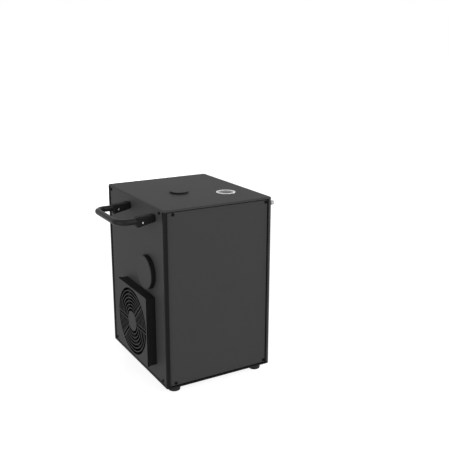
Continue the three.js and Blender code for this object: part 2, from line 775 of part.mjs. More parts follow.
// Heater: duct from the blower, barrel with its sleeve and coil, nozzle and lift-off cap
function buildHeater() {
  const ductTop = deckZ + ductHeight;
  const mouthY = blowerY + scrollReach + snug;
  const left = -wallX + sheet;
  const plan = (inset) =>
    outline([
      [left + inset, mouthY + inset],
      [left + ductNeck - inset, mouthY + inset],
      [left + ductNeck - inset, ductFront + inset],
      [ductRight - inset, ductFront + inset],
      [ductRight - inset, ductBack - inset],
      [left + inset, ductBack - inset],
    ]);
  const box = along("z", plan(0), deckZ, ductTop);
  const hollow = along("z", plan(ductWall), deckZ + ductWall, ductTop - ductWall);
  const mouth = along(
    "y",
    rectangle(ductNeck - 2 * ductWall, ductHeight - 2 * ductWall, left + ductNeck / 2, deckZ + ductHeight / 2),
    mouthY - overrun,
    mouthY + ductWall + overrun,
  );
  const up = disc("z", barrelBore, ductTop - ductWall - overrun, ductTop + overrun).translate(outletX, outletY, 0);
  piece("air_duct", cut(box, hollow, mouth, up), zinc);

  const heater = new THREE.Group();
  heater.position.set(outletX, outletY, 0);
  part.add(heater);
  const barrelRadius = barrelBore + barrelWall;
  const skirtEnd = topZ - nozzleSkirt;
  const seatZ = feedZ + tubeRadius + snug + collarThickness;
  const barrel = turned("z", [
    [barrelBore, ductTop],
    [barrelFlange, ductTop],
    [barrelFlange, ductTop + collarThickness],
    [barrelRadius, ductTop + collarThickness],
    [barrelRadius, seatZ - collarThickness],
    [barrelRadius + sleeveWall, seatZ - collarThickness],
    [barrelRadius + sleeveWall, seatZ],
    [barrelRadius, seatZ],
    [barrelRadius, skirtEnd],
    [barrelBore, skirtEnd],
    [barrelBore, ductTop],
  ]);
  const port = disc("x", tubeRadius + snug, 0, barrelFlange).translate(0, 0, feedZ);
  piece("heating_barrel", cut(barrel, port), steel, 0, 0, 0, heater);

  const sleeveBore = barrelRadius + snug;
  const sleeveRadius = sleeveBore + sleeveWall;
  const sleeveEnd = skirtEnd - sleeveDrop;
  piece("ceramic_sleeve", pipe("z", sleeveBore, sleeveRadius, seatZ, sleeveEnd), ceramic, 0, 0, 0, heater);

  const coilRadius = sleeveRadius / Math.cos(Math.PI / coilSteps) + snug + coilTube;
  const coilStart = seatZ + coilTube + snug;
  const total = Math.round(((sleeveEnd - coilStart) / coilPitch) * coilSteps);
  const rings = [];
  for (let k = 0; k <= total; k++) {
    const a = (k / coilSteps) * 2 * Math.PI;
    rings.push(
      Array.from({ length: coilSides }, (_, i) => {
        const b = (i / coilSides) * 2 * Math.PI;
        const r = coilRadius + coilTube * Math.cos(b);
        return [r * Math.cos(a), r * Math.sin(a), coilStart + (k / coilSteps) * coilPitch + coilTube * Math.sin(b)];
      }),
    );
  }
  piece("heating_coil", loft(rings), copper, 0, 0, 0, heater);

  const nozzle = turned("z", [
    [nozzleBore, skirtEnd + snug + nozzleSkirt / 2],
    [barrelBore, skirtEnd + snug],
    [barrelRadius + nozzleSheet, skirtEnd + snug],
    [barrelRadius + nozzleSheet, skirtEnd + snug + nozzleSkirt / 3],
    [nozzleNeck, skirtEnd + snug + nozzleSkirt / 2],
    [nozzleNeck, topZ - nozzleSheet],
    [nozzleFlange, topZ - nozzleSheet],
    [nozzleFlange, topZ],
    [nozzleNeck, topZ],
    [nozzleNeck, height],
    [nozzleBore, height],
    [nozzleBore, skirtEnd + snug + nozzleSkirt / 2],
  ]);
  piece("outlet_nozzle", nozzle, steel, 0, 0, 0, heater);

  const cap = turned(
    "z",
    [
      [0, height - plugDepth + plugWall],
      [nozzleBore - snug - plugWall, height - plugDepth + plugWall],
      [nozzleBore - snug - plugWall, height - plugDepth],
      [nozzleBore - snug, height - plugDepth],
      [nozzleBore - snug, height],
      [outletCapRadius, height],
      [outletCapRadius, height + outletCapHeight - outletCapEdge],
      [outletCapRadius - outletCapEdge, height + outletCapHeight],
      [0, height + outletCapHeight],
    ],
    24,
  );
  piece("outlet_cap", cap, coated, 0, 0, 0, heater);
}

// Filler ring with its cap, and the hopper under it
function buildFiller() {
  const filler = new THREE.Group();
  filler.position.set(fillerX, fillerY, height);
  part.add(filler);
  const ring = turned(
    "z",
    [
      [fillerBore - fillerLedge, -fillerDepth],
      [fillerNeck, -fillerDepth],
      [fillerNeck, 0],
      [fillerRadius, 0],
      [fillerRadius, fillerHeight / 3],
      [fillerRadius - fillerHeight / 3, fillerHeight * 0.85],
      [fillerRadius - fillerHeight, fillerHeight],
      [fillerBore + fillerHeight / 2, fillerHeight],
      [fillerBore, fillerHeight / 2],
      [fillerBore, -fillerCapDepth],
      [fillerBore - fillerLedge, -fillerCapDepth],
      [fillerBore - fillerLedge, -fillerDepth],
    ],
    24,
  );
  piece("filler_ring", ring, chrome, 0, 0, 0, filler);

  const capRadius = fillerBore - snug;
  const capTop = fillerHeight * 0.7;
  const cap = turned(
    "z",
    [
      [0, -fillerDish - fillerCapWall],
      [capRadius - fillerCapWall, -fillerDish - fillerCapWall],
      [capRadius - fillerCapWall, -fillerCapDepth],
      [capRadius, -fillerCapDepth],
      [capRadius, capTop],
      [capRadius - fillerCapWall, capTop],
      [capRadius - fillerCapWall - fillerDish, -fillerDish + fillerCapWall / 2],
      [0, -fillerDish + fillerCapWall / 2],
    ],
    24,
  );
  const bar = along(
    "z",
    rectangle(2 * (capRadius - fillerCapWall), fillerGrip),
    -fillerDish,
    capTop,
  );
  piece("filler_cap", join(cap, bar), coated, 0, 0, 0, filler);

  const binY = fillerY + hopperShift;
  const ringAt = (x, y, w, l, z, inset) => [
    [x - w / 2 + inset, y - l / 2 + inset, z],
    [x + w / 2 - inset, y - l / 2 + inset, z],
    [x + w / 2 - inset, y + l / 2 - inset, z],
    [x - w / 2 + inset, y + l / 2 - inset, z],
  ];
  const throat = (z) => (inset) => ringAt(throatX, outletY, throatWidth, throatLength, z, inset);
  const bin = (z) => (inset) => ringAt(fillerX, binY, hopperWidth, hopperLength, z, inset);
  const throatEnd = feedZ + tubeRadius / 2;
  const throatTop = feedZ + tubeRadius + hopperSheet;
  const binEnd = throatTop + (topZ - throatTop) * hopperSlopeShare;
  const skin = (rings, inset) => loft(rings.map((ring) => ring(inset)));
  const saddle = disc("x", tubeRadius + snug, throatX - throatWidth, throatX + throatWidth).translate(
    0,
    outletY,
    feedZ,
  );
  const funnel = [throat(throatEnd), throat(throatTop), bin(binEnd)];
  const funnelHole = [throat(throatEnd - overrun), throat(throatTop), bin(binEnd), bin(binEnd + overrun)];
  piece("hopper_funnel", cut(skin(funnel, 0), skin(funnelHole, hopperSheet), saddle), zinc);
  const binHole = skin([bin(binEnd - overrun), bin(topZ + overrun)], hopperSheet);
  piece("hopper", cut(skin([bin(binEnd), bin(topZ)], 0), binHole), zinc);
}

// Feed: tube and screw, two gears, motor and bracket
function gear(teeth, turn) {
  const pitchRadius = (teeth * gearModule) / 2;
  const half = (toothShare * Math.PI * gearModule) / 2;
  const points = [];
  const widths = [
    [pitchRadius - dedendum, half + dedendum * Math.tan(pressureAngle)],
    [pitchRadius + addendum, half - addendum * Math.tan(pressureAngle)],
  ];
  for (let k = 0; k < teeth; k++) {
    const a = turn + (k / teeth) * 2 * Math.PI;
    const flank = [...widths.map(([r, w]) => [r, -w / r]), ...[...widths].reverse().map(([r, w]) => [r, w / r])];
    for (const [r, da] of flank) points.push([r * Math.cos(a + da), r * Math.sin(a + da)]);
  }
  return outline(points);
}

function buildFeed() {
  const feed = new THREE.Group();
  feed.position.set(0, outletY, feedZ);
  part.add(feed);
  const motorY = (gearModule * (screwTeeth + motorTeeth)) / 2;
  const gearX = bracketX + bracketSheet + gearGap;

  const tubeStart = outletX + barrelBore + barrelWall / 3;
  const tube = pipe("x", tubeBore, tubeRadius, tubeStart, bracketX);
  const inlet = along("z", rectangle(inletLength, inletWidth, throatX, 0), 0, tubeRadius + overrun);
  piece("feed_tube", cut(tube, inlet), steel, 0, 0, 0, feed);

  const flightStart = tubeStart + screwShaft;
  const turns = (bracketX - flightStart - screwShaft) / screwPitch;
  const total = Math.round(turns * flightSteps);
  const inner = screwShaft - flightThickness / 2;
  const rings = [];
  for (let k = 0; k <= total; k++) {
    const a = (k / flightSteps) * 2 * Math.PI;
    const x = flightStart + (k / flightSteps) * screwPitch;
    const at = (r, dx) => [x + dx, r * Math.cos(a), r * Math.sin(a)];
    rings.push([at(inner, 0), at(screwRadius, 0), at(screwRadius, flightThickness), at(inner, flightThickness)]);
  }
  const shaft = disc("x", screwShaft, tubeStart, gearX + gearWidth + gearGap, 16);
  piece("feed_screw", join(shaft, loft(rings)), steel, 0, 0, 0, feed);
  const bore = () => circle(screwShaft + snug);
  piece("screw_gear", along("x", gear(screwTeeth, 0), gearX, gearX + gearWidth, [bore()]), brass, 0, 0, 0, feed);

  const boss = bracketSheet + gearGap / 2;
  const shaftEnd = bracketX - motorShaftDepth;
  const motor = turned("x", [
    [0, bracketX - motorLength],
    [motorRadius, bracketX - motorLength],
    [motorRadius, bracketX],
    [motorBoss, bracketX],
    [motorBoss, bracketX + boss],
    [screwShaft + snug, bracketX + boss],
    [screwShaft + snug, shaftEnd - snug],
    [0, shaftEnd - snug],
  ]);
  piece("feed_motor", motor, steel, 0, motorY, 0, feed);
  const wheel = along("x", gear(motorTeeth, Math.PI + Math.PI / motorTeeth), gearX, gearX + gearWidth);
  const pin = disc("x", screwShaft, shaftEnd, gearX + gearWidth + gearGap / 2, 16);
  piece("motor_gear", join(wheel, pin), brass, 0, motorY, 0, feed);

  const low = deckZ - feedZ;
  const high = motorRadius + bracketMargin;
  const profile = outline([
    [bracketX + bracketSheet, low],
    [bracketX + bracketSheet, high],
    [bracketX, high],
    [bracketX, low + bracketSheet],
    [bracketX - bracketFoot, low + bracketSheet],
    [bracketX - bracketFoot, low],
  ]);
  const angle = along("y", profile, -motorRadius, motorY + motorRadius + bracketMargin);
  const drill = (r, y) => disc("x", r, bracketX - overrun, bracketX + bracketSheet + overrun).translate(0, y, 0);
  piece("feed_bracket", cut(angle, drill(screwShaft + snug, 0), drill(motorBoss + snug, motorY)), zinc, 0, 0, 0, feed);
}

// Inner deck with the heater driver on it and the power supply under it
function buildElectrics() {
  const bridge = outline([
    [deckFront, plate],
    [deckFront, deckZ],
    [deckBack, deckZ],
    [deckBack, plate],
    [deckBack - deckSheet, plate],
    [deckBack - deckSheet, deckZ - deckSheet],
    [deckFront + deckSheet, deckZ - deckSheet],
    [deckFront + deckSheet, plate],
  ]);
  piece("inner_deck", along("x", bridge, deckLeft, deckRight), zinc);

  const caseShape = outline([
    [-supplyLength / 2, 0],
    [supplyLength / 2, 0],
    [supplyLength / 2, terminalShelf],
    [supplyLength / 2 - terminalDepth, terminalShelf],
    [supplyLength / 2 - terminalDepth, supplyHeight],
    [-supplyLength / 2, supplyHeight],
  ]);
  const body = along("x", caseShape, -supplyWidth / 2, supplyWidth / 2);
  const ribs = [];
  for (let k = 0; k < terminalRibs; k++) {
    const x = (k / (terminalRibs - 1) - 0.5) * (supplyWidth - 2 * terminalRib);
    const rib = rectangle(terminalRib, terminalRise + overrun, x, terminalShelf + (terminalRise - overrun) / 2);
    ribs.push(along("y", rib, supplyLength / 2 - terminalDepth - overrun, supplyLength / 2 - terminalRib));
  }
  piece("power_supply", join(body, ...ribs), aluminium, supplyX, supplyY, plate);

  const standoffs = (w, h, rise) =>
    [[-1, -1], [1, -1], [1, 1], [-1, 1]].map(([sx, sy]) =>
      disc("z", standoffRadius, 0, rise + overrun / 2, 10).translate(
        sx * (w / 2 - 1.5 * standoffRadius),
        sy * (h / 2 - 1.5 * standoffRadius),
        0,
      ),
    );
  const driver = along("z", rectangle(driverWidth, driverLength), boardRise, boardRise + boardThickness);
  piece(
    "driver_board",
    join(driver, ...standoffs(driverWidth, driverLength, boardRise)),
    board,
    driverX,
    driverY,
    deckZ,
  );
  const pitch = (sinkWidth - sinkFin) / (sinkFins - 1);
  const comb = [[-sinkWidth / 2, 0], [sinkWidth / 2, 0]];
  for (let k = sinkFins - 1; k >= 0; k--) {
    const x = -sinkWidth / 2 + k * pitch;
    if (k < sinkFins - 1) comb.push([x + sinkFin, sinkBase]);
    comb.push([x + sinkFin, sinkHeight], [x, sinkHeight]);
    if (k > 0) comb.push([x, sinkBase]);
  }
  piece(
    "driver_heatsink",
    along("y", outline(comb), -driverLength / 2 + 2 * standoffRadius, driverLength / 2 - 2 * standoffRadius),
    aluminium,
    driverX,
    driverY,
    deckZ + boardRise + boardThickness,
  );

  const face = wallY - controlRise;
  const middleZ = displayZ + displayHeight / 2 + standoffRadius - controlHeight / 2;
  const control = along("y", rectangle(controlWidth, controlHeight, 0, middleZ), face - boardThickness, face);
  const posts = [];
  for (const sx of [-1, 1])
    for (const sz of [-1, 1])
      posts.push(
        disc("y", standoffRadius, face - boardThickness / 2, wallY, 10).translate(
          sx * (controlWidth / 2 - 1.5 * standoffRadius),
          0,
          middleZ + sz * (controlHeight / 2 - 1.5 * standoffRadius),
        ),
      );
  const tacts = buttonNames.map((_, k) =>
    along("y", rectangle(tactSize, tactSize, buttonX(k), buttonZ), face - boardThickness / 2, face + tactHeight),
  );
  piece("control_board", join(control, ...posts, ...tacts), board);
}

// Display and push buttons
function buildControls() {
  const [w, h] = [displayWidth, displayHeight];
  const bezel = along("y", rounded(w, h, displayFrame / 2), panelY, panelY + displayProud);
  const throughW = w - 2 * (displayFrame + snug);
  const throughH = h - 2 * (displayFrame + snug);
  const through = along("y", rectangle(throughW, throughH), wallY - displayProud, panelY + displayProud / 2);
  const lensHole = along(
    "y",
    rectangle(w - 2 * displayFrame, h - 2 * displayFrame),
    panelY + displayProud - displayLens,
    panelY + displayProud + overrun,
  );
  piece("display_window", cut(join(bezel, through), lensHole), lens, 0, 0, displayZ);

  const switchTop = wallY - controlRise + tactHeight;
  const collarTop = wallY - snug;
  const profile = [
    [0, switchTop + buttonTravel + snug],
    [buttonRadius - 1.5 * buttonCollarDepth, switchTop + buttonTravel + snug],
    [buttonRadius - 1.5 * buttonCollarDepth, collarTop - buttonCollarDepth],
    [buttonCollar, collarTop - buttonCollarDepth],
    [buttonCollar, collarTop],
    [buttonRadius, collarTop],
    [buttonRadius, panelY + buttonProud - buttonCollarDepth / 2],
    [buttonRadius - buttonCollarDepth / 2, panelY + buttonProud],
    [0, panelY + buttonProud],
  ];
  const button = turned("y", profile, 12);
  buttonNames.forEach((name, k) => piece(`button_${name}`, button, plastic, buttonX(k), 0, buttonZ));
}

// A panel socket: square face outside the panel, round body through it
function socket(name, x, z, bore, depth, fittings) {
  const mouth = panelY + socketProud;
  const face = along("y", rounded(socketFaceWidth, socketFaceHeight, socketFaceRound), panelY, mouth);
  const body = disc("y", socketRadius, panelY - socketInside, panelY + socketProud / 2, 24);
  const shell = join(face, body);
  const hollow = disc("y", bore, mouth - depth, mouth + overrun, 24);
  const open = cut(shell, hollow);
  piece(name, fittings.length ? join(open, ...fittings) : open, plastic, x, 0, z);
}

function buildSockets() {
  const mouth = panelY + socketProud;
  const x = socketPitch / 2;
  const pins = [0, 1, 2].map((k) => {
    const a = Math.PI / 2 + (k / 3) * 2 * Math.PI;
    const foot = mouth - dataPinLength - 2 * overrun;
    return disc("y", dataPin, foot - overrun, foot + dataPinLength, 8).translate(
      dataPinCircle * Math.cos(a),
      0,
      dataPinCircle * Math.sin(a),
    );
  });
  socket("data_inlet", x, dataZ, dataBore, dataPinLength + 2 * overrun, pins);

  const plug = disc("y", dataBore - 2 * dataPin, mouth - powerBoreDepth - overrun, mouth - overrun, 24);
  const holes = pins.map((pin) => pin.clone().scale(1, 1, 1).translate(0, 2 * overrun, 0));
  socket("data_outlet", -x, dataZ, dataBore, powerBoreDepth, [cut(plug, ...holes)]);

  const key = (turn) =>
    along("y", rectangle(powerKey, powerKey, 0, powerBore - powerKey / 3), mouth - powerBoreDepth, mouth - overrun)
      .rotateY(turn);
  const core = () => disc("y", powerCore, mouth - powerBoreDepth - overrun, mouth - 2 * overrun, 20);
  socket("power_inlet", x, powerZ, powerBore, powerBoreDepth, [core(), key(0)]);
  socket("power_outlet", -x, powerZ, powerBore, powerBoreDepth, [core(), key(Math.PI), key(Math.PI / 2)]);
}

// Rocker switch and fuse
function buildSwitch() {
  const group = new THREE.Group();
  group.position.set(switchX, panelY, lowerZ);
  part.add(group);
  const [w, h] = [switchWidth, switchHeight];
  const rim = along("y", rounded(w + 2 * switchFrame, h + 2 * switchFrame, switchFrame), 0, switchProud);
  const body = along("y", rectangle(w, h), -switchInside, switchProud / 2);
  const well = along(
    "y",
    rectangle(w - 2 * switchFrame, h - switchFrame),
    -switchInside + switchFrame,
    switchProud + overrun,
  );
  piece("switch_bezel", cut(join(rim, body), well), plastic, 0, 0, 0, group);

  const arc = [];
  const steps = 10;
  for (let k = 0; k <= steps; k++) {
    const a = Math.PI + (k / steps) * Math.PI;
    arc.push([rockerRadius * Math.cos(a), rockerRadius * Math.sin(a)]);
  }
  const profile = outline([...arc, [rockerRadius, rockerCrest], [0, rockerCrest / 2], [-rockerRadius, rockerCrest]]);
  const half = (w - 2 * switchFrame) / 2 - snug;
  const rocker = along("x", profile, -half, half).rotateX(-Math.PI / 2 + rockerTilt);
  piece("power_switch", rocker, gloss, 0, 0, 0, group);

  const fuse = new THREE.Group();
  fuse.position.set(fuseX, panelY, lowerZ);
  part.add(fuse);
  const bore = fuseCapRadius + snug;
  const holder = turned("y", [
    [0, -fuseInside],
    [fuseBody, -fuseInside],
    [fuseBody, 0],
    [fuseFlange, 0],
    [fuseFlange, fuseProud],
    [bore, fuseProud],
    [bore, -fuseInside + fuseProud],
    [0, -fuseInside + fuseProud],
  ]);
  piece("fuse_holder", holder, plastic, 0, 0, 0, fuse);
  const knob = disc("y", fuseCapRadius, -fuseInside + fuseProud + snug, fuseCapProud);
  const slot = along(
    "y",
    rectangle(2 * (fuseCapRadius + overrun), fuseSlot),
    fuseCapProud - fuseSlot,
    fuseCapProud + overrun,
  );
  piece("fuse_cap", cut(knob, slot), plastic, 0, 0, 0, fuse);
}

// Bright domed stud near the top of the right panel
function buildStud() {
  const profile = [[0, 0], [studRadius, 0]];
  const steps = 5;
  for (let k = 1; k <= steps; k++) {
    const a = (k / steps) * (Math.PI / 2);
    profile.push([studRadius * Math.cos(a), studProud * Math.sin(a)]);
  }
  profile[profile.length - 1][0] = 0;
  piece("side_stud", turned("x", profile, 20), chrome, panelX, studY, studZ);
}

buildPlates();
buildPosts();
buildPanels();
buildFeet();
buildHandle();
buildFan();
buildBlower();
buildHeater();
buildFiller();
buildFeed();
buildElectrics();
buildControls();
buildSockets();
buildSwitch();
buildStud();

// The housing's middle is off the middle of the whole by half of what stands out on each side
const low = [-panelX - handleReach, -depth / 2];
const high = [panelX + studProud, panelY + fuseCapProud];
part.position.set(-(low[0] + high[0]) / 2, -(low[1] + high[1]) / 2, footHeight);

export default part;
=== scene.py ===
import json
import math

import bpy
from mathutils import Matrix, Vector

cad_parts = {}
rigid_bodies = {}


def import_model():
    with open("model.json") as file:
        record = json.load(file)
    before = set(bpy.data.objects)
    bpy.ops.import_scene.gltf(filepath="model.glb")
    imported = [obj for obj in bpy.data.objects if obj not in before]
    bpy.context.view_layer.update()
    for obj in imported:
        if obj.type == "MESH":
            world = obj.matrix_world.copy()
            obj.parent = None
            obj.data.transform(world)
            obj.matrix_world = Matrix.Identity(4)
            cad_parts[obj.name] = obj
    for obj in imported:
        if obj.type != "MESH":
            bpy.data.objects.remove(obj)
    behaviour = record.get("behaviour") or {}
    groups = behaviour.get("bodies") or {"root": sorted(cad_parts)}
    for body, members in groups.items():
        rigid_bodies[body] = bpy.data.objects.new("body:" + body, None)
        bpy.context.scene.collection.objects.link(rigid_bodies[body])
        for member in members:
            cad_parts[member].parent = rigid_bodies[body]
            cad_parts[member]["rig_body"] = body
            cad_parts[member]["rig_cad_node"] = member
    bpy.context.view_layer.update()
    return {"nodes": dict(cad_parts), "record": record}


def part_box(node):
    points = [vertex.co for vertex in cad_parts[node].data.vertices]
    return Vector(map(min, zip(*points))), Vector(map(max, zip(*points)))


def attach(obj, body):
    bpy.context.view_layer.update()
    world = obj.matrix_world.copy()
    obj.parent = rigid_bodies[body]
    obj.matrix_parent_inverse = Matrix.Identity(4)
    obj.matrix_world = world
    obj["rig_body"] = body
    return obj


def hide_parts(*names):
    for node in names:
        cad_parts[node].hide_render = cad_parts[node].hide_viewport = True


bl_info = {
    "name": "Cold Spark Machine",
    "version": (1, 0, 0),
    "blender": (4, 5, 0),
    "location": "View3D > Sidebar > Spark Machine",
    "description": "Dresses a cold spark machine: housing, grille, handle, top, back and studio",
    "category": "Object",
}

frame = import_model()
MM = 0.001
SAME = 1e-6  # points nearer than this are one
X, Y, Z = 0, 1, 2
ALIGNED = 0.9  # least cosine between a face or edge and the way that it is chosen by
SMOOTH = 32  # degrees from which an edge shows as sharp
SLOT_OF = {s["node"]: s["material_slot"] for s in frame["record"]["subparts"]}

BASE_LOW, BASE_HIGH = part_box("base_plate")
BASE_MIDDLE = (BASE_LOW + BASE_HIGH) / 2
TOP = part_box("top_cover")[1].z
SIDE_PROUD = 1 * MM  # how far the side panels stand out of their solids
LEFT_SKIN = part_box("left_panel")[0].x - SIDE_PROUD
RIGHT_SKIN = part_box("right_panel")[1].x + SIDE_PROUD
FRONT_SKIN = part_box("front_panel")[0].y
BACK_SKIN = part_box("back_panel")[1].y
SEAM_DEEP = 1 * MM
SHADE_LINING_SUNK = 0.6 * SEAM_DEEP  # from a panel's face to its black lining of painted shade
SCREW_TURN = 0.7  # how much further round each screw of a row stands
ON_FACE = 0.05 * MM  # how near a point on a flat face lies to it

# The camera stands where the housing's edges in the photograph put it
CAMERA_SPOT = (-0.4951, -1.0423, 0.5645)
CAMERA_TURN = (1.3053027, -0.0009623, -0.5248530)
CAMERA_LENS, SENSOR_WIDTH = 55.0906, 36
LAMP_AIM = Vector((0, 0, 0.16))
FLOOR_SIZE, FLOOR_DROP = 40, 0.0002


# Sizes and colours that a user would change


class SparkHousing(bpy.types.PropertyGroup):
    coat: bpy.props.FloatVectorProperty(
        name="Coat colour",
        description="Colour of the powder coat",
        subtype="COLOR",
        default=(0.047, 0.047, 0.048),
    )
    corner: bpy.props.FloatVectorProperty(
        name="Corner colour",
        description="Colour of the corner posts",
        subtype="COLOR",
        default=(0.002, 0.002, 0.0021),
    )
    edge: bpy.props.FloatProperty(
        name="Edge softness",
        description="Rounding of the sheet edges",
        unit="LENGTH",
        default=0.35 * MM,
    )
    screw_radius: bpy.props.FloatProperty(
        name="Screw radius",
        description="Radius of a panel screw's head",
        unit="LENGTH",
        default=2.6 * MM,
    )


class SparkGrille(bpy.types.PropertyGroup):
    opening: bpy.props.FloatProperty(
        name="Opening radius",
        description="Radius of the grille's round opening",
        unit="LENGTH",
        default=58 * MM,
    )
    hub: bpy.props.FloatProperty(
        name="Hub radius",
        description="Radius of the plain disc in the middle",
        unit="LENGTH",
        default=17.5 * MM,
    )
    rings: bpy.props.IntProperty(
        name="Rings", description="Rings between the hub and the edge", default=6
    )
    bar: bpy.props.FloatProperty(
        name="Ring width", description="Width of one ring", unit="LENGTH", default=1.65 * MM
    )
    spoke_gap: bpy.props.FloatProperty(
        name="Spoke gap",
        description="Gap between a spoke's two bars",
        unit="LENGTH",
        default=3.4 * MM,
    )


class SparkHandle(bpy.types.PropertyGroup):
    bar_radius: bpy.props.FloatProperty(
        name="Bar radius", description="Radius of the handle's bar", unit="LENGTH", default=5 * MM
    )
    bend: bpy.props.FloatProperty(
        name="Bend radius",
        description="Radius of each bend's middle line",
        unit="LENGTH",
        default=15.5 * MM,
    )
    boot_taper: bpy.props.FloatProperty(
        name="Boot taper",
        description="Size of a boot's outer end against its foot",
        default=0.93,
    )


class SparkTop(bpy.types.PropertyGroup):
    cap_edge: bpy.props.FloatProperty(
        name="Cap edge",
        description="Rounding of the outlet cap",
        unit="LENGTH",
        default=0.6 * MM,
    )
    ring_round: bpy.props.FloatProperty(
        name="Ring round",
        description="Rounding of the filler ring",
        unit="LENGTH",
        default=1.1 * MM,
    )


class SparkStudio(bpy.types.PropertyGroup):
    ambient: bpy.props.FloatProperty(
        name="Ambient", description="Strength of the light all round", default=0.45
    )
    key: bpy.props.FloatProperty(
        name="Front light", description="Power of the front lamp", unit="POWER", default=11
    )
    fill: bpy.props.FloatProperty(
        name="Side light", description="Power of the lamp on the left", unit="POWER", default=13
    )
    back: bpy.props.FloatProperty(
        name="Back light",
        description="Power of the lamps behind and on the right",
        unit="POWER",
        default=14,
    )


# Modelling helpers


def extent(node):
    """The low corner, high corner and middle of a CAD node."""
    low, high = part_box(node)
    return low, high, (low + high) / 2


def only(*objects):
    """These objects are selected, and the first is active."""
    if bpy.context.object and bpy.context.object.mode != "OBJECT":
        bpy.ops.object.mode_set(mode="OBJECT")
    bpy.ops.object.select_all(action="DESELECT")
    for obj in objects:
        obj.select_set(True)
    bpy.context.view_layer.objects.active = objects[0]


def settle(obj):
    """Puts the object at the origin, with its place in its mesh."""
    only(obj)
    bpy.ops.object.transform_apply(location=True, rotation=True, scale=True)
    return obj


def edit(obj, select="SELECT", kind="VERT"):
    """Opens the mesh for editing with all of it selected, or none."""
    only(obj)
    bpy.ops.object.mode_set(mode="EDIT")
    bpy.ops.mesh.select_mode(type=kind)
    bpy.ops.mesh.select_all(action=select)


def done():
    """Ends the editing of a mesh."""
    bpy.ops.object.mode_set(mode="OBJECT")


def close_up():
    """Joins points that meet, turns the normals outward and ends the editing."""
    bpy.ops.mesh.select_all(action="SELECT")
    bpy.ops.mesh.remove_doubles(threshold=SAME)
    bpy.ops.mesh.normals_make_consistent(inside=False)
    done()


def choose(obj, test, kind="FACE"):
    """Selects faces or edges for editing by a test.

    The test takes a face's middle and normal, or an edge's middle and direction.
    """
    edit(obj, "DESELECT", kind)
    done()
    mesh = obj.data
    if kind == "FACE":
        for face in mesh.polygons:
            face.select = bool(test(face.center, face.normal))
    else:
        for edge in mesh.edges:
            a, b = (mesh.vertices[i].co for i in edge.vertices)
            edge.select = bool(test((a + b) / 2, (b - a).normalized()))
    bpy.ops.object.mode_set(mode="EDIT")


def shift_chosen(way):
    """Moves what is selected and ends the editing."""
    bpy.ops.transform.translate(value=way)
    done()


def round_corners(obj, axis, radius, segments):
    """Rounds the edges of a block that run along an axis."""
    choose(obj, lambda p, d: abs(d[axis]) > ALIGNED, "EDGE")
    bpy.ops.mesh.bevel(offset=radius, segments=segments)
    done()


def block(name, low, high):
    """A box between two corners."""
    low, high = Vector(low), Vector(high)
    bpy.ops.mesh.primitive_cube_add(size=1, location=(low + high) / 2)
    obj = bpy.context.object
    obj.name = name
    obj.scale = high - low
    return settle(obj)


AIM = {
    "z": Matrix.Identity(3),
    "-z": Matrix.Rotation(math.pi, 3, "X"),
    "x": Matrix.Rotation(math.pi / 2, 3, "Y"),
    "-x": Matrix.Rotation(-math.pi / 2, 3, "Y"),
    "y": Matrix.Rotation(-math.pi / 2, 3, "X"),
    "-y": Matrix.Rotation(math.pi / 2, 3, "X"),
}


def place(obj, spot, aim="z", turn=0.0):
    """Turns a shape that was made upright at the origin, and moves it to its spot."""
    turned_to = AIM[aim] @ Matrix.Rotation(turn, 3, "Z")
    obj.matrix_world = Matrix.Translation(spot) @ turned_to.to_4x4()
    return settle(obj)


def turned(name, profile, sides):
    """A turned shape about Z from [radius, height] points in metres.

    The profile starts and ends on the axis, or comes back to its start.
    """
    capped = profile[0][0] == 0
    radius, height = profile[1 if capped else 0]
    bpy.ops.mesh.primitive_circle_add(
        vertices=sides,
        radius=radius,
        fill_type="NGON" if capped else "NOTHING",
        location=(0, 0, height),
    )
    obj = settle(bpy.context.object)
    obj.name = name
    edit(obj)
    for r, h in profile[2 if capped else 1 :]:
        if r == 0:
            break
        bpy.ops.mesh.extrude_region_move(TRANSFORM_OT_translate={"value": (0, 0, h - height)})
        bpy.ops.transform.resize(value=(r / radius, r / radius, 1), center_override=(0, 0, h))
        radius, height = r, h
    close_up()
    return obj


def band(inner, outer, low, high):
    """The profile of a turned ring with square corners."""
    return [(inner, low), (outer, low), (outer, high), (inner, high), (inner, low)]


def fillet(x, y, radius, start, steps):
    """Points of a quarter round about (x, y), from an angle in degrees on by 90."""
    points = []
    for k in range(steps + 1):
        a = math.radians(start + 90 * k / steps)
        points.append((x + radius * math.cos(a), y + radius * math.sin(a)))
    return points


def modify(obj, kind, **values):
    """Adds a modifier with these values and applies it."""
    only(obj)
    bpy.ops.object.modifier_add(type=kind)
    modifier = obj.modifiers[-1]
    for key, value in values.items():
        setattr(modifier, key, value)
    bpy.ops.object.modifier_apply(modifier=modifier.name)
    return obj


def soften(obj, width, segments=2, angle=35):
    """Rounds the edges that are sharper than an angle in degrees."""
    return modify(
        obj,
        "BEVEL",
        width=width,
        segments=segments,
        limit_method="ANGLE",
        angle_limit=math.radians(angle),
        use_clamp_overlap=True,
    )


def carve(obj, cutter):
    """Cuts one object out of another, and removes the cutter."""
    modify(obj, "BOOLEAN", object=cutter, operation="DIFFERENCE", solver="EXACT")
    bpy.data.objects.remove(cutter)
    return obj


def joined(name, *objects):
    """One object from several."""
    only(*objects)
    bpy.ops.object.join()
    obj = bpy.context.object
    obj.name = name
    return obj


def copied(obj):
    """A copy with a mesh of its own."""
    only(obj)
    bpy.ops.object.duplicate(linked=False)
    return bpy.context.object


def smooth(obj, angle=SMOOTH):
    """Shades the object smooth, apart from edges sharper than an angle in degrees."""
    only(obj)
    bpy.ops.object.shade_smooth_by_angle(angle=math.radians(angle))


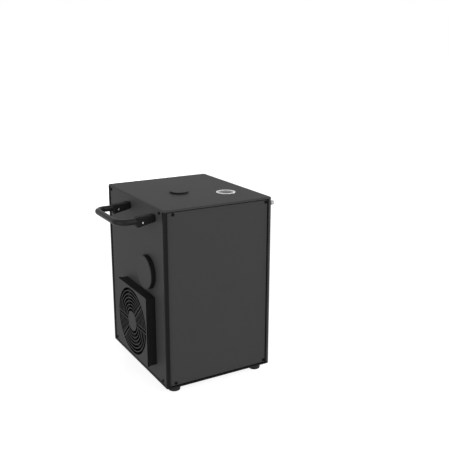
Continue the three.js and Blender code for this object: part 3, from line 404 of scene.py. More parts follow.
def dress(obj, name, finish, body="housing", nodes=(), angle=SMOOTH):
    """Names a finished piece, gives it its finish and shading, and lets it ride on its body."""
    obj.name = name
    obj.data.name = name
    smooth(obj, angle)
    modify(obj, "WEIGHTED_NORMAL", keep_sharp=True, weight=80)
    obj.data.materials.clear()
    obj.data.materials.append(MATERIALS[finish])
    if nodes:
        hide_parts(*nodes)
    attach(obj, body)
    return obj


def softened_copy(
    node,
    width,
    segments=2,
    body="housing",
    angle=35,
    sharp=SMOOTH,
    finish=None,
    raised=None,
    cuts=(),
):
    """A copy of a CAD node with clean faces and rounded edges, which stands for it.

    Its finish is its slot's, unless another is given. A face that lies outermost along raised
    moves out by its length, and the blocks in cuts are taken away.
    """
    obj = copied(frame["nodes"][node])
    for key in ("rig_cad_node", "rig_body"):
        if key in obj:
            del obj[key]
    obj.parent = None
    settle(obj)
    edit(obj)
    bpy.ops.mesh.remove_doubles(threshold=SAME)
    bpy.ops.mesh.dissolve_limited(angle_limit=math.radians(1))
    done()
    if raised:
        way = raised.normalized()
        outermost = max(v.co.dot(way) for v in obj.data.vertices)
        level = outermost - ON_FACE
        choose(obj, lambda p, n: n.dot(way) > ALIGNED and p.dot(way) > level)
        shift_chosen(raised)
    for cut in cuts:
        carve(obj, cut)
    soften(obj, width, segments, angle)
    slot = SLOT_OF[node]
    return dress(obj, node + "_finished", finish or slot, body, (node,), sharp)


def seamed_panel(node, edge, way, proud, seams):
    """A panel with a rebate along its high side on each axis in seams, of the given width, lined
    black as painted shade.

    Its face points along way, and stands out by proud.
    """
    low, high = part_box(node)
    axis = max(range(3), key=lambda k: abs(way[k]))
    face = 0 if way[axis] < 0 else 1  # the corner of a box that lies on the panel's face
    (low, high)[face][axis] += proud * way[axis]
    cuts = []
    for side, width in seams:
        rebate = low.copy(), high.copy()
        rebate[0][side] = high[side] - width
        rebate[1 - face][axis] = rebate[face][axis] - SEAM_DEEP * way[axis]
        # The black lining in the rebate is painted shade for the gap
        shade_lining = rebate[0].copy(), rebate[1].copy()
        shade_lining[face][axis] -= SHADE_LINING_SUNK * way[axis]
        # The cut runs on past the panel's own ends
        start = [x - MM * (x < y + SAME) for x, y in zip(rebate[0], low)]
        end = [x + MM * (x > y - SAME) for x, y in zip(rebate[1], high)]
        cuts.append(block("cut", start, end))
        name = f"{node}_seam_{'xyz'[side]}"
        dress(block("painted_shade_lining", *shade_lining), name, "slot_black")
    softened_copy(node, edge, raised=Vector(way) * proud if proud else None, cuts=cuts)


def screw_head(radius):
    """A pan-head screw with a cross recess that stands on the origin and points up."""
    shank, sunk = 0.6 * radius, 0.5 * radius
    height = 0.55 * radius
    rim = 0.35 * height
    crown = 0.38 * radius
    points = [(0, -sunk), (shank, -sunk), (shank, 0), (radius, 0), (radius, rim)]
    points += fillet(radius - crown, rim, crown, 0, 3)[1:]
    head = turned("screw", points + [(0, 0)], sides=28)
    long, wide = 0.55 * radius, 0.11 * radius
    for turn in (0, math.pi / 2):
        slot = block("slot", (-long, -wide, 0.05 * height), (long, wide, 2 * radius))
        carve(head, place(slot, (0, 0, 0), "z", turn))
    return head


def row_of_screws(name, spots, aim, radius, finish, slot):
    """One screw, copied to each spot with its cross turned a little further, and joined."""
    first = screw_head(radius)
    heads = [place(copied(first), spot, aim, SCREW_TURN * k) for k, spot in enumerate(spots)]
    bpy.data.objects.remove(first)
    return dress(joined(name, *heads), name, finish)


def bright_screws(name, spots, aim, radius):
    """A row of plated screws."""
    return row_of_screws(name, spots, aim, radius, "screw_bright", "chromed")


# Materials

MATERIALS = {}


def node_of(nodes, kind):
    """The first node of a kind."""
    return next(n for n in nodes if n.type == kind)


def surface(
    name,
    colour,
    roughness,
    metallic=0.0,
    grain=1500.0,
    relief=0.1,
    depth=0.00005,
    cloud=0.12,
    cloud_scale=9.0,
    rough_span=0.08,
    coat=0.0,
    specular=0.5,
):
    """A finish whose tone and gloss drift slowly over it, with a fine relief.

    Scales are per metre, and cloud and rough_span say how far tone and gloss drift.
    """
    material = bpy.data.materials.new(name)
    material.use_nodes = True
    nodes, links = material.node_tree.nodes, material.node_tree.links
    shader = nodes["Principled BSDF"]
    shader.inputs["Metallic"].default_value = metallic
    shader.inputs["Coat Weight"].default_value = coat
    shader.inputs["Coat Roughness"].default_value = 0.08
    shader.inputs["Specular IOR Level"].default_value = specular
    place_node = nodes.new("ShaderNodeTexCoord")
    drift = nodes.new("ShaderNodeTexNoise")
    drift.inputs["Scale"].default_value = cloud_scale
    drift.inputs["Detail"].default_value = 4
    links.new(place_node.outputs["Object"], drift.inputs["Vector"])
    tone = nodes.new("ShaderNodeMix")
    tone.data_type = "RGBA"
    tone.inputs["A"].default_value = (*(c * (1 - cloud) for c in colour), 1)
    tone.inputs["B"].default_value = (*(min(1, c * (1 + cloud)) for c in colour), 1)
    links.new(drift.outputs["Fac"], tone.inputs["Factor"])
    links.new(tone.outputs["Result"], shader.inputs["Base Color"])
    gloss = nodes.new("ShaderNodeMapRange")
    gloss.inputs["To Min"].default_value = max(0.02, roughness - rough_span)
    gloss.inputs["To Max"].default_value = min(1, roughness + rough_span)
    links.new(drift.outputs["Fac"], gloss.inputs["Value"])
    links.new(gloss.outputs["Result"], shader.inputs["Roughness"])
    fine = nodes.new("ShaderNodeTexNoise")
    fine.inputs["Scale"].default_value = grain
    fine.inputs["Detail"].default_value = 3
    links.new(place_node.outputs["Object"], fine.inputs["Vector"])
    bump = nodes.new("ShaderNodeBump")
    bump.inputs["Strength"].default_value = relief
    bump.inputs["Distance"].default_value = depth
    links.new(fine.outputs["Fac"], bump.inputs["Height"])
    links.new(bump.outputs["Normal"], shader.inputs["Normal"])
    MATERIALS[name] = material
    return material


def powder_coat(name, colour):
    """Fine-texture powder coat: a pebbled relief, with painted light on each pebble and painted
    shade in the tiny pits between.
    """
    material = surface(
        name,
        colour,
        0.62,
        grain=2400,
        relief=0.28,
        depth=0.00009,
        cloud=0.07,
        cloud_scale=5,
        rough_span=0.05,
        specular=0.12,
    )
    nodes, links = material.node_tree.nodes, material.node_tree.links
    pebble = nodes.new("ShaderNodeTexVoronoi")
    pebble.inputs["Scale"].default_value = 1300
    links.new(node_of(nodes, "TEX_COORD").outputs["Object"], pebble.inputs["Vector"])
    # Painted light and shade: lighter colour on each pebble's middle, darker in the pits between
    # pebbles
    pebble_light_and_shade = nodes.new("ShaderNodeMapRange")
    pebble_light_and_shade.inputs["From Max"].default_value = 0.55
    pebble_light_and_shade.inputs["To Min"].default_value = 1.12
    pebble_light_and_shade.inputs["To Max"].default_value = 0.86
    links.new(pebble.outputs["Distance"], pebble_light_and_shade.inputs["Value"])
    tone = node_of(nodes, "MIX")
    shade = nodes.new("ShaderNodeMix")
    shade.data_type = "RGBA"
    shade.blend_type = "MULTIPLY"
    shade.inputs["Factor"].default_value = 1
    links.new(tone.outputs["Result"], shade.inputs["A"])
    links.new(pebble_light_and_shade.outputs["Result"], shade.inputs["B"])
    links.new(shade.outputs["Result"], nodes["Principled BSDF"].inputs["Base Color"])
    return material


def turned_metal(name, colour, roughness, pitch):
    """Metal with fine rings or lines left by its making, spaced about 1 / pitch metres apart."""
    material = surface(
        name,
        colour,
        roughness,
        1.0,
        grain=900,
        relief=0.05,
        cloud=0.1,
        cloud_scale=30,
        rough_span=0.07,
    )
    nodes, links = material.node_tree.nodes, material.node_tree.links
    lines = nodes.new("ShaderNodeTexWave")
    lines.wave_type = "BANDS"
    lines.bands_direction = "Z"
    lines.inputs["Scale"].default_value = pitch
    lines.inputs["Distortion"].default_value = 1.5
    lines.inputs["Detail"].default_value = 2
    links.new(node_of(nodes, "TEX_COORD").outputs["Object"], lines.inputs["Vector"])
    bump = node_of(nodes, "BUMP")
    over = nodes.new("ShaderNodeBump")
    over.inputs["Strength"].default_value = 0.12
    over.inputs["Distance"].default_value = 0.00003
    links.new(lines.outputs["Fac"], over.inputs["Height"])
    links.new(bump.outputs["Normal"], over.inputs["Normal"])
    links.new(over.outputs["Normal"], nodes["Principled BSDF"].inputs["Normal"])
    return material


def make_materials(context):
    """Makes the finish of each slot, and those that only some of its pieces have."""
    housing = context.scene.spark_housing
    powder_coat("coated_steel", housing.coat)
    surface(
        "corner_gloss", housing.corner, 0.2, grain=500, relief=0.03, cloud=0.1, specular=0.14
    )
    surface("slot_black", (0.0015, 0.0015, 0.0016), 0.7, grain=2400, cloud=0.1, specular=0.04)
    black = {"cloud": 0.1, "specular": 0.12}
    surface("fan_plastic", (0.003, 0.003, 0.0032), 0.5, grain=1800, relief=0.12, **black)
    surface(
        "side_black", (0.006, 0.006, 0.0062), 0.6, grain=2400, relief=0.2, depth=0.00009, **black
    )
    surface("black_plastic", (0.008, 0.008, 0.0085), 0.48, grain=1800, relief=0.12, cloud=0.1)
    surface(
        "grip_rubber",
        (0.005, 0.005, 0.0052),
        0.62,
        grain=2200,
        relief=0.2,
        depth=0.00008,
        specular=0.12,
    )
    surface("switch_plastic", (0.01, 0.01, 0.011), 0.22, grain=400, relief=0.02)
    surface("bar_coating", (0.008, 0.008, 0.0085), 0.42, relief=0.06, specular=0.15)
    surface(
        "foot_rubber", (0.01, 0.01, 0.01), 0.75, grain=2600, relief=0.3, depth=0.0001, specular=0.3
    )
    surface(
        "filter_foam",
        (0.004, 0.004, 0.0042),
        0.9,
        grain=1300,
        relief=0.8,
        depth=0.0004,
        cloud=0.3,
        specular=0.05,
    )
    surface("screw_black", (0.0015, 0.0015, 0.0016), 0.6, grain=1200, relief=0.05, specular=0.08)
    surface("screw_bright", (0.42, 0.43, 0.44), 0.25, 1.0, grain=1000, relief=0.04)
    surface(
        "chromed",
        (0.5, 0.505, 0.51),
        0.12,
        1.0,
        grain=600,
        relief=0.015,
        cloud=0.03,
        rough_span=0.03,
    )
    surface(
        "satin_metal",
        (0.17, 0.172, 0.175),
        0.3,
        1.0,
        grain=900,
        relief=0.05,
        cloud=0.1,
        cloud_scale=30,
    )
    surface(
        "zinc_sheet",
        (0.5, 0.51, 0.53),
        0.38,
        1.0,
        grain=260,
        relief=0.06,
        cloud=0.22,
        cloud_scale=70,
    )
    turned_metal("plain_aluminium", (0.66, 0.67, 0.69), 0.34, 900)
    turned_metal("tube_steel", (0.42, 0.43, 0.45), 0.3, 600)
    turned_metal("coil_copper", (0.72, 0.36, 0.22), 0.26, 400)
    turned_metal("gear_brass", (0.62, 0.46, 0.2), 0.28, 700)
    surface("ceramic", (0.78, 0.75, 0.67), 0.82, grain=800, relief=0.25, cloud=0.06)
    surface(
        "circuit_board", (0.02, 0.12, 0.05), 0.4, grain=300, cloud=0.35, cloud_scale=160, coat=0.3
    )
    glass = {"grain": 300, "relief": 0.01, "cloud": 0.2}
    surface("display_lens", (0.006, 0.008, 0.012), 0.12, coat=0.6, **glass)
    surface("display_glow", (0.02, 0.05, 0.09), 0.2, **glass)
    surface("socket_insert", (0.02, 0.05, 0.16), 0.42, relief=0.08)


def straight_rays(nodes, links):
    """An output that is 1 for rays from the camera, gloss or glass, and 0 for others."""
    path = nodes.new("ShaderNodeLightPath")
    value = path.outputs["Is Camera Ray"]
    for kind in ("Is Glossy Ray", "Is Transmission Ray"):
        either = nodes.new("ShaderNodeMath")
        either.operation = "MAXIMUM"
        links.new(value, either.inputs[0])
        links.new(path.outputs[kind], either.inputs[1])
        value = either.outputs["Value"]
    return value


# Operators


class SPARK_OT_stage(bpy.types.Operator):
    """Sets the floor, the lights, the world and the camera"""

    bl_idname = "spark.stage"
    bl_label = "Studio"

    def execute(self, context):
        studio = context.scene.spark_studio
        context.scene.view_settings.view_transform = "Standard"

        # Seen straight on the floor glows white, and it still takes shadows
        bpy.ops.mesh.primitive_plane_add(size=FLOOR_SIZE, location=(0, 0, -FLOOR_DROP))
        floor = settle(context.object)
        floor.name = "studio_floor"
        paint = bpy.data.materials.new("studio_white")
        paint.use_nodes = True
        nodes, links = paint.node_tree.nodes, paint.node_tree.links
        shader = nodes["Principled BSDF"]
        shader.inputs["Roughness"].default_value = 0.9
        shader.inputs["Specular IOR Level"].default_value = 0.1
        shader.inputs["Emission Color"].default_value = (1, 1, 1, 1)
        glow, bounced, seen_straight = 0.87, 0.8, 0.3
        seen = straight_rays(nodes, links)
        level = nodes.new("ShaderNodeMath")
        level.operation = "MULTIPLY"
        level.inputs[1].default_value = glow
        links.new(seen, level.inputs[0])
        links.new(level.outputs["Value"], shader.inputs["Emission Strength"])
        shade = nodes.new("ShaderNodeMix")
        shade.data_type = "RGBA"
        shade.inputs["A"].default_value = (bounced, bounced, bounced, 1)
        shade.inputs["B"].default_value = (seen_straight, seen_straight, seen_straight, 1)
        links.new(seen, shade.inputs["Factor"])
        links.new(shade.outputs["Result"], shader.inputs["Base Color"])
        floor.data.materials.append(paint)

        # Seen straight the world is white, and it lights the object less than that
        world = bpy.data.worlds.new("studio_world")
        context.scene.world = world
        world.use_nodes = True
        nodes, links = world.node_tree.nodes, world.node_tree.links
        around = nodes["Background"]
        plain = nodes.new("ShaderNodeBackground")
        for background, strength in ((around, studio.ambient), (plain, 1)):
            background.inputs["Color"].default_value = (1, 1, 1, 1)
            background.inputs["Strength"].default_value = strength
        mix = nodes.new("ShaderNodeMixShader")
        links.new(straight_rays(nodes, links), mix.inputs["Fac"])
        links.new(around.outputs["Background"], mix.inputs[1])
        links.new(plain.outputs["Background"], mix.inputs[2])
        links.new(mix.outputs["Shader"], nodes["World Output"].inputs["Surface"])

        # The back lamp stays under the top's level, so that it lights only the back
        for name, power, size, spot in (
            ("front_lamp", studio.key, 1.2, (0.5, -1.7, 0.9)),
            ("left_lamp", studio.fill, 1.0, (-1.6, -0.95, 0.5)),
            ("back_lamp", studio.back, 0.28, (0.5, 1.9, 0.15)),
            ("right_lamp", studio.back, 0.8, (1.8, -0.2, 0.42)),
        ):
            bpy.ops.object.light_add(type="AREA", location=spot)
            lamp = context.object
            lamp.name = name
            lamp.data.energy = power
            lamp.data.size = size
            lamp.rotation_euler = (LAMP_AIM - Vector(spot)).to_track_quat("-Z", "Y").to_euler()

        bpy.ops.object.camera_add(location=CAMERA_SPOT)
        camera = context.object
        camera.name = "studio_camera"
        camera.rotation_euler = CAMERA_TURN
        camera.data.sensor_width = SENSOR_WIDTH
        camera.data.lens = CAMERA_LENS
        context.scene.camera = camera
        return {"FINISHED"}


class SPARK_OT_finishes(bpy.types.Operator):
    """Gives every piece of the frame the finish of its slot"""

    bl_idname = "spark.finishes"
    bl_label = "Finishes"

    def execute(self, context):
        make_materials(context)
        for name, obj in frame["nodes"].items():
            obj.data.materials.clear()
            obj.data.materials.append(MATERIALS[SLOT_OF[name]])
            smooth(obj)
        return {"FINISHED"}


class SPARK_OT_housing(bpy.types.Operator):
    """Rounds the edges of the plates, posts and panels, and cuts the seams, lined black as painted
    shade
    """

    bl_idname = "spark.housing"
    bl_label = "Housing"

    def execute(self, context):
        edge = context.scene.spark_housing.edge
        post_edge = 0.6 * edge
        for node in ("top_cover", "back_panel"):
            softened_copy(node, edge)
        # The base plate is gloss black, painted shade that shows its edge as a dark line under the
        # panels
        softened_copy("base_plate", edge, finish="corner_gloss")
        # Rebates under the top cover, beside the front right post and before the back posts are
        # lined black: painted shade for the gaps there
        front_seams = (Z, 1.2 * MM), (X, 2 * MM)
        side_seams = ((Y, 5 * MM),)
        seamed_panel("front_panel", edge, (0, -1, 0), 0, front_seams)
        seamed_panel("left_panel", edge, (-1, 0, 0), SIDE_PROUD, side_seams)
        seamed_panel("right_panel", edge, (1, 0, 0), SIDE_PROUD, side_seams)
        # Only the front left post keeps the gloss black of its slot; the other three take the coat
        softened_copy("post_front_left", post_edge)
        for node in ("post_front_right", "post_back_left", "post_back_right"):
            softened_copy(node, post_edge, finish="coated_steel")
        return {"FINISHED"}


class SPARK_OT_filter(bpy.types.Operator):
    """Lays a black foam filter behind the air slots, so that nobody sees through them"""

    bl_idname = "spark.filter"
    bl_label = "Slot Filter"

    def execute(self, context):
        wide, tall, thick = 80 * MM, 86 * MM, 1 * MM
        corner, up = 4 * MM, 70 * MM
        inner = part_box("right_panel")[0].x
        y, z = BASE_MIDDLE.y, BASE_LOW.z + up
        low = inner - thick, y - wide / 2, z - tall / 2
        mat = block("mat", low, (inner, y + wide / 2, z + tall / 2))
        round_corners(mat, X, corner, 4)
        soften(mat, 0.3 * MM)
        dress(mat, "slot_filter", "filter_foam")
        return {"FINISHED"}


class SPARK_OT_screws(bpy.types.Operator):
    """Adds the small dark screws of the panels"""

    bl_idname = "spark.screws"
    bl_label = "Panel Screws"

    def execute(self, context):
        radius = context.scene.spark_housing.screw_radius
        finish = "screw_black", "corner_gloss"
        mid = BASE_MIDDLE
        front_and_back = ("front_screws", FRONT_SKIN, "-y"), ("back_screws", BACK_SKIN, "y")
        left_and_right = ("left_screws", LEFT_SKIN, "-x"), ("right_screws", RIGHT_SKIN, "x")
        low, high = BASE_LOW.z + 7.5 * MM, BASE_LOW.z + 292 * MM
        across, along = 85 * MM, 100.75 * MM
        # The heads keep clear of the seams
        right, back, up = 2.5 * MM, 0.75 * MM, 1 * MM
        corners = [(s, z) for s in (-1, 1) for z in (low, high)]
        for name, skin, aim in front_and_back:
            spots = [(mid.x + right + s * across, skin, z) for s, z in corners]
            row_of_screws(name, spots, aim, radius, *finish)
        for name, skin, aim in left_and_right:
            spots = [(skin, mid.y + back + s * along, z + up) for s, z in corners]
            row_of_screws(name, spots, aim, radius, *finish)
        return {"FINISHED"}


class SPARK_OT_grille(bpy.types.Operator):
    """Builds the square fan cover with its ring grille"""

    bl_idname = "spark.grille"
    bl_label = "Fan Grille"

    def execute(self, context):
        g = context.scene.spark_grille
        low, high, mid = extent("fan_cover")
        half = (high.y - low.y) / 2
        deep = high.x - low.x
        wall, plate = 2 * MM, 1.5 * MM
        lip, inset = 5 * MM, 0.9 * MM
        corner, corner_steps = 2.5 * MM, 5
        base = deep - plate

        # All of it is made upright, with the face at the top, and turned to the left at the end
        tubes = []
        for name, start, end, side in (
            ("lip", deep - lip, base, half),
            ("body", 0, deep - lip, half - inset),
        ):
            tube = block(name, (-side, -side, start), (side, side, end))
            round_corners(tube, Z, corner, corner_steps)
            choose(tube, lambda p, n: abs(n.z) > ALIGNED)
            bpy.ops.mesh.delete(type="FACE")
            done()
            modify(tube, "SOLIDIFY", thickness=wall, offset=-1)
            tubes.append(tube)
        cover_frame = joined("frame", *tubes)

        face = block("face", (-half, -half, base), (half, half, deep))
        round_corners(face, Z, corner, corner_steps)
        hole = [(0, 0), (g.opening, 0), (g.opening, 2 * deep), (0, 2 * deep)]
        carve(face, turned("hole", hole, sides=160))

        slot = (g.opening - g.hub - g.rings * g.bar) / (g.rings + 1)
        rings = []
        for k in range(g.rings):
            inner = g.hub + slot * (k + 1) + g.bar * k
            loop = band(inner, inner + g.bar, base, deep)
            # The wider rings have more sides
            rings.append(turned("ring", loop, sides=144 if k > 2 else 112))
        ring = joined("rings", *rings)
        reach = g.opening + plate / 2
        bars = []
        # One pair of spokes lies level, the other crosses it at 45 degrees and rises to the front
        for turn in (math.pi / 2, -math.pi / 2, -math.pi / 4, -math.pi / 4 + math.pi):
            near = g.spoke_gap / 2
            gap = block("gap", (g.hub, -near, 0), (g.opening, near, 2 * deep))
            carve(ring, place(gap, (0, 0, 0), "z", turn))
            for start, end in ((-near - wall, -near), (near, near + wall)):
                bar = block("bar", (g.hub - plate, start, base), (reach, end, deep))
                bars.append(place(bar, (0, 0, 0), "z", turn))
        hub = turned("hub", [(0, base), (g.hub, base), (g.hub, deep), (0, deep)], sides=96)
        cover = joined("fan_grille", face, ring, hub, *bars)
        # The cut edges of the plate are black: they are a layer of their own under the face
        skin = 0.3 * MM
        edges = copied(cover)
        for layer, old, new in ((cover, base, deep - skin), (edges, deep, deep - skin)):
            choose(layer, lambda p, n: abs(p.z - old) < ON_FACE and abs(n.z) > ALIGNED)
            shift_chosen((0, 0, new - old))
        soften(cover, 0.12 * MM)
        soften(cover_frame, 0.25 * MM)
        for obj, name, finish, nodes in (
            (cover, "fan_grille", "coated_steel", ("fan_cover",)),
            (edges, "fan_grille_edges", "slot_black", ()),
            (cover_frame, "fan_cover_frame", "side_black", ()),
        ):
            place(obj, (high.x, mid.y, mid.z), "-x")
            dress(obj, name, finish, nodes=nodes)
        return {"FINISHED"}


class SPARK_OT_fan(bpy.types.Operator):
    """Smooths the fan's rotor and frame behind the grille"""

    bl_idname = "spark.fan"
    bl_label = "Fan"

    def execute(self, context):
        softened_copy("fan_frame", 0.4 * MM, finish="fan_plastic")
        softened_copy("fan_rotor", 0.25 * MM, 2, "fan", 50, 45, "fan_plastic")
        return {"FINISHED"}


class SPARK_OT_side_cover(bpy.types.Operator):
    """Builds the round side cover over the blower"""

    bl_idname = "spark.side_cover"
    bl_label = "Round Cover"

    def execute(self, context):
        low, high, mid = extent("blower_cover")
        radius = (high.z - low.z) / 2
        deep = high.x - low.x
        sheet, edge, sides = 1.5 * MM, 1.2 * MM, 128
        inner, shoulder = radius - sheet, deep - edge
        spot = (high.x, mid.y, mid.z)
        side = turned("side", band(inner, radius, 0, shoulder), sides)
        dress(place(side, spot, "-x"), "round_cover_side", "side_black")
        profile = [(0, deep - sheet), (inner, deep - sheet), (inner, shoulder), (radius, shoulder)]
        profile += fillet(radius - edge, shoulder, edge, 0, 5)[1:] + [(0, deep)]
        cover = place(turned("round_cover", profile, sides), spot, "-x")
        dress(cover, "round_cover", "coated_steel", nodes=("blower_cover",))
        return {"FINISHED"}


class SPARK_OT_handle(bpy.types.Operator):
    """Builds the carrying bar, its two boots and their screws"""

    bl_idname = "spark.handle"
    bl_label = "Handle"

    def execute(self, context):
        h = context.scene.spark_handle
        low, high, mid = extent("handle_bar")
        r = h.bar_radius
        x_out, y_front, y_back = low.x + r, low.y + r, high.y - r
        x_in = high.x
        x_bend = x_out + h.bend

        def run(x, y):
            bpy.ops.mesh.extrude_region_move(TRANSFORM_OT_translate={"value": (x, y, 0)})

        def bend(y):
            centre = (x_bend, y, mid.z)
            bpy.ops.mesh.spin(steps=18, angle=math.pi / 2, center=centre, axis=(0, 0, 1))

        bpy.ops.mesh.primitive_circle_add(
            vertices=40,
            radius=r,
            fill_type="NGON",
            location=(x_in, y_front, mid.z),
            rotation=(0, math.pi / 2, 0),
        )
        bar = settle(context.object)
        edit(bar)
        run(x_bend - x_in, 0)
        bend(y_front + h.bend)
        run(0, y_back - y_front - 2 * h.bend)
        bend(y_back - h.bend)
        run(x_in - x_bend, 0)
        close_up()
        dress(bar, "carry_bar", "bar_coating", nodes=("handle_bar",), angle=40)

        boot_edge, boot_steps = 2.6 * MM, 5
        # The mouth flares downwards, and the boot slims and rises a little towards the panel.
        # Each move says whether it is for the outer end and whether for the upper edge.
        mouth_drop, foot_rise, foot_top_rise = 3.7 * MM, 3.2 * MM, 1.4 * MM
        moves = (
            ((True, False), -mouth_drop),
            ((False, False), foot_rise),
            ((False, True), foot_top_rise),
        )
        screw_out, screw_sunk, screw_drop, screw_radius = 22.5 * MM, 0.35 * MM, 2.2 * MM, 1.7 * MM
        for end in ("front", "back"):
            node = "handle_socket_" + end
            low, high, mid = extent(node)
            boot = block("boot", low, high)
            choose(boot, lambda p, n: n.x < -ALIGNED)
            bpy.ops.transform.resize(
                value=(1, h.boot_taper, 1), center_override=(low.x, mid.y, mid.z)
            )
            done()
            for where, shift in moves:
                choose(
                    boot,
                    lambda p, d: abs(d.y) > ALIGNED and (p.x < mid.x, p.z > mid.z) == where,
                    "EDGE",
                )
                shift_chosen((0, 0, shift))
            soften(boot, boot_edge, boot_steps)
            dress(boot, "boot_" + end, "grip_rubber", nodes=(node,))
            spot = (high.x - screw_out, low.y + screw_sunk, mid.z - screw_drop)
            bright_screws("boot_screw_" + end, [spot], "-y", screw_radius)
        return {"FINISHED"}


class SPARK_OT_top(bpy.types.Operator):
    """Builds the outlet cap, the filler ring and the filler cap"""

    bl_idname = "spark.top"
    bl_label = "Top Fittings"

    def execute(self, context):
        t = context.scene.spark_top
        low, high, mid = extent("outlet_cap")
        spot = (mid.x, mid.y, TOP)
        wide = (high.x - low.x) / 2
        tall, deep = high.z - TOP, low.z - TOP
        plug, wall, edge, sides = 7.7 * MM, 1.6 * MM, t.cap_edge, 112
        inner, shoulder = wide - wall, tall - edge
        profile = [(0, deep + wall), (plug - wall, deep + wall), (plug - wall, deep), (plug, deep)]
        profile += [(plug, 0), (inner, 0), (inner, shoulder), (wide, shoulder)]
        # One more ring of points keeps the shading of the flat top even
        flat = 0.8 * wide
        profile += fillet(wide - edge, shoulder, edge, 0, 4)[1:] + [(flat, tall), (0, tall)]
        cap = place(turned("spark_cap", profile, sides), spot)
        dress(cap, "spark_cap", "coated_steel", "outlet_cover", ("outlet_cap",))
        side = place(turned("side", band(inner, wide, 0, shoulder), sides), spot)
        dress(side, "spark_cap_side", "side_black", "outlet_cover")

        low, high, mid = extent("filler_ring")
        shown = 0.95  # the photograph shows the ring narrower than its solid
        wide = shown * (high.y - low.y) / 2
        tall, deep = high.z - TOP, low.z - TOP
        bore, neck, ledge, lip = 12.5 * MM, 14.7 * MM, 8 * MM, 1.5 * MM
        edge = min(t.ring_round, 0.45 * tall)  # less than half of the ring's height
        profile = [(bore - lip, deep), (neck, deep), (neck, 0), (wide, 0), (wide, tall - edge)]
        profile += fillet(wide - edge, tall - edge, edge, 0, 5)[1:]
        profile += fillet(bore + edge, tall - edge, edge, 90, 5)
        profile += [(bore, -ledge), (bore - lip, -ledge), (bore - lip, deep)]
        ring = place(turned("bright_ring", profile, sides=128), (mid.x, mid.y, TOP))
        dress(ring, "bright_ring", "chromed", nodes=("filler_ring",), angle=40)
        softened_copy("filler_cap", 0.3 * MM, 3, "filler_cover", finish="satin_metal")
        return {"FINISHED"}


class SPARK_OT_stud(bpy.types.Operator):
    """Builds the bright domed stud on the right side"""

    bl_idname = "spark.stud"
    bl_label = "Side Stud"

    def execute(self, context):
        low, high, mid = extent("side_stud")
        post_low, post_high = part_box("post_front_right")
        radius = (high.z - low.z) / 2
        tall, drop, sunk = 8.5 * MM, 4 * MM, 0.4 * MM
        # It stands at the front edge of the post, as far forward as its flange allows
        behind = 5.5 * MM
        y = post_low.y + behind
        collar = 0.25  # the share of its height that goes straight up
        dome = [
            (radius * math.cos(a), tall * (collar + (1 - collar) * math.sin(a)))
            for a in (0, 0.3, 0.6, 0.85, 1.1, 1.3, 1.45)
        ]
        stud = turned("bright_stud", [(0, 0), (radius, 0)] + dome + [(0, tall)], sides=64)
        place(stud, (post_high.x - sunk, y, mid.z - drop), "x")
        dress(stud, "bright_stud", "screw_bright", nodes=("side_stud",), angle=40)
        return {"FINISHED"}


class SPARK_OT_feet(bpy.types.Operator):
    """Builds the rubber feet with their screws"""

    bl_idname = "spark.feet"
    bl_label = "Feet"

    def execute(self, context):
        rim, draft, sole_edge = 0.4 * MM, 0.3 * MM, 1.2 * MM
        sole = (0.6 * MM, 0.35 * MM), (1.1 * MM, 0)  # points of its round, in from the side and up
        bore, bore_deep = 4.3 * MM, 3.6 * MM
        flare, flare_deep = 0.3 * MM, 0.4 * MM
        screw_radius, screw_deep = 3 * MM, 3.5 * MM
        for end in ("front", "back"):
            for side in ("left", "right"):
                node = f"foot_{end}_{side}"
                low, high, mid = extent(node)
                r = (high.x - low.x) / 2
                tall = high.z - low.z
                profile = [(0, tall), (r - rim, tall), (r, tall - rim), (r - draft, sole_edge)]
                profile += [(r - inward, up) for inward, up in sole] + [(bore + flare, 0)]
                profile += [(bore, flare_deep), (bore, bore_deep), (0, bore_deep)]
                foot = place(turned("pad", profile, sides=72), (mid.x, mid.y, low.z))
                dress(foot, node + "_pad", "foot_rubber", nodes=(node,))
                spot = (mid.x, mid.y, low.z + screw_deep)
                bright_screws(node + "_screw", [spot], "-z", screw_radius)
        return {"FINISHED"}


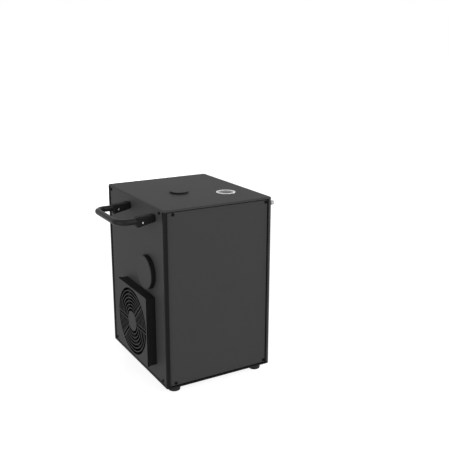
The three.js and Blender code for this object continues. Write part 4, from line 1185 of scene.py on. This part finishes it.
class SPARK_OT_back(bpy.types.Operator):
    """Finishes the display, keys, sockets, switch and fuse on the back"""

    bl_idname = "spark.back"
    bl_label = "Back Fittings"

    def execute(self, context):
        fine, broad = 0.3 * MM, 0.4 * MM
        softened_copy("display_window", broad, 3)
        low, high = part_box("display_window")
        border, behind, sunk = 4.3 * MM, 1.1 * MM, 0.5 * MM
        glass = block(
            "glass",
            (low.x + border, high.y - behind, low.z + border),
            (high.x - border, high.y - sunk, high.z - border),
        )
        soften(glass, 0.2 * MM)
        dress(glass, "display_glass", "display_glow")
        for key in ("menu", "down", "up", "enter"):
            softened_copy("button_" + key, fine, 3, key + "_key")

        spots = []
        inset, screw_radius = 3.2 * MM, 1.6 * MM
        for node in ("data_inlet", "data_outlet", "power_inlet", "power_outlet"):
            softened_copy(node, fine)
            low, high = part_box(node)
            spots.append((low.x + inset, high.y, low.z + inset))
            spots.append((high.x - inset, high.y, high.z - inset))
        bright_screws("socket_screws", spots, "y", screw_radius)
        liner = band(9.9 * MM, 10.6 * MM, 0, 0.5 * MM)
        for node in ("power_inlet", "power_outlet"):
            low, high, mid = extent(node)
            rim = turned("rim", liner, sides=64)
            place(rim, (mid.x, high.y, mid.z), "y")
            dress(rim, node + "_rim", "socket_insert")

        softened_copy("switch_bezel", broad)
        softened_copy("power_switch", fine, 3, "rocker")
        softened_copy("fuse_holder", broad)
        softened_copy("fuse_cap", broad, 2, "fuse_knob")
        return {"FINISHED"}


class SPARK_PT_sidebar(bpy.types.Panel):
    """Lists the steps in the sidebar"""

    bl_idname = "SPARK_PT_sidebar"
    bl_label = "Spark Machine"
    bl_space_type = "VIEW_3D"
    bl_region_type = "UI"
    bl_category = "Spark Machine"

    def draw(self, context):
        layout = self.layout
        for group in GROUPS:
            values = getattr(context.scene, group)
            column = layout.column()
            for key in values.bl_rna.properties.keys():
                if key not in ("rna_type", "name"):
                    column.prop(values, key)
        for step in STEPS:
            layout.operator(step.bl_idname)


STEPS = (
    SPARK_OT_stage,
    SPARK_OT_finishes,
    SPARK_OT_housing,
    SPARK_OT_filter,
    SPARK_OT_screws,
    SPARK_OT_grille,
    SPARK_OT_fan,
    SPARK_OT_side_cover,
    SPARK_OT_handle,
    SPARK_OT_top,
    SPARK_OT_stud,
    SPARK_OT_feet,
    SPARK_OT_back,
)
GROUPS = {
    "spark_housing": SparkHousing,
    "spark_grille": SparkGrille,
    "spark_handle": SparkHandle,
    "spark_top": SparkTop,
    "spark_studio": SparkStudio,
}


def register():
    for name, group in GROUPS.items():
        bpy.utils.register_class(group)
        setattr(bpy.types.Scene, name, bpy.props.PointerProperty(type=group))
    for step in STEPS:
        bpy.utils.register_class(step)
    bpy.utils.register_class(SPARK_PT_sidebar)


def unregister():
    bpy.utils.unregister_class(SPARK_PT_sidebar)
    for step in reversed(STEPS):
        bpy.utils.unregister_class(step)
    for name, group in GROUPS.items():
        delattr(bpy.types.Scene, name)
        bpy.utils.unregister_class(group)


def main():
    register()
    bpy.ops.spark.stage()
    bpy.ops.spark.finishes()
    bpy.ops.spark.housing()
    bpy.ops.spark.filter()
    bpy.ops.spark.screws()
    bpy.ops.spark.grille()
    bpy.ops.spark.fan()
    bpy.ops.spark.side_cover()
    bpy.ops.spark.handle()
    bpy.ops.spark.top()
    bpy.ops.spark.stud()
    bpy.ops.spark.feet()
    bpy.ops.spark.back()


if __name__ == "__main__":
    main()
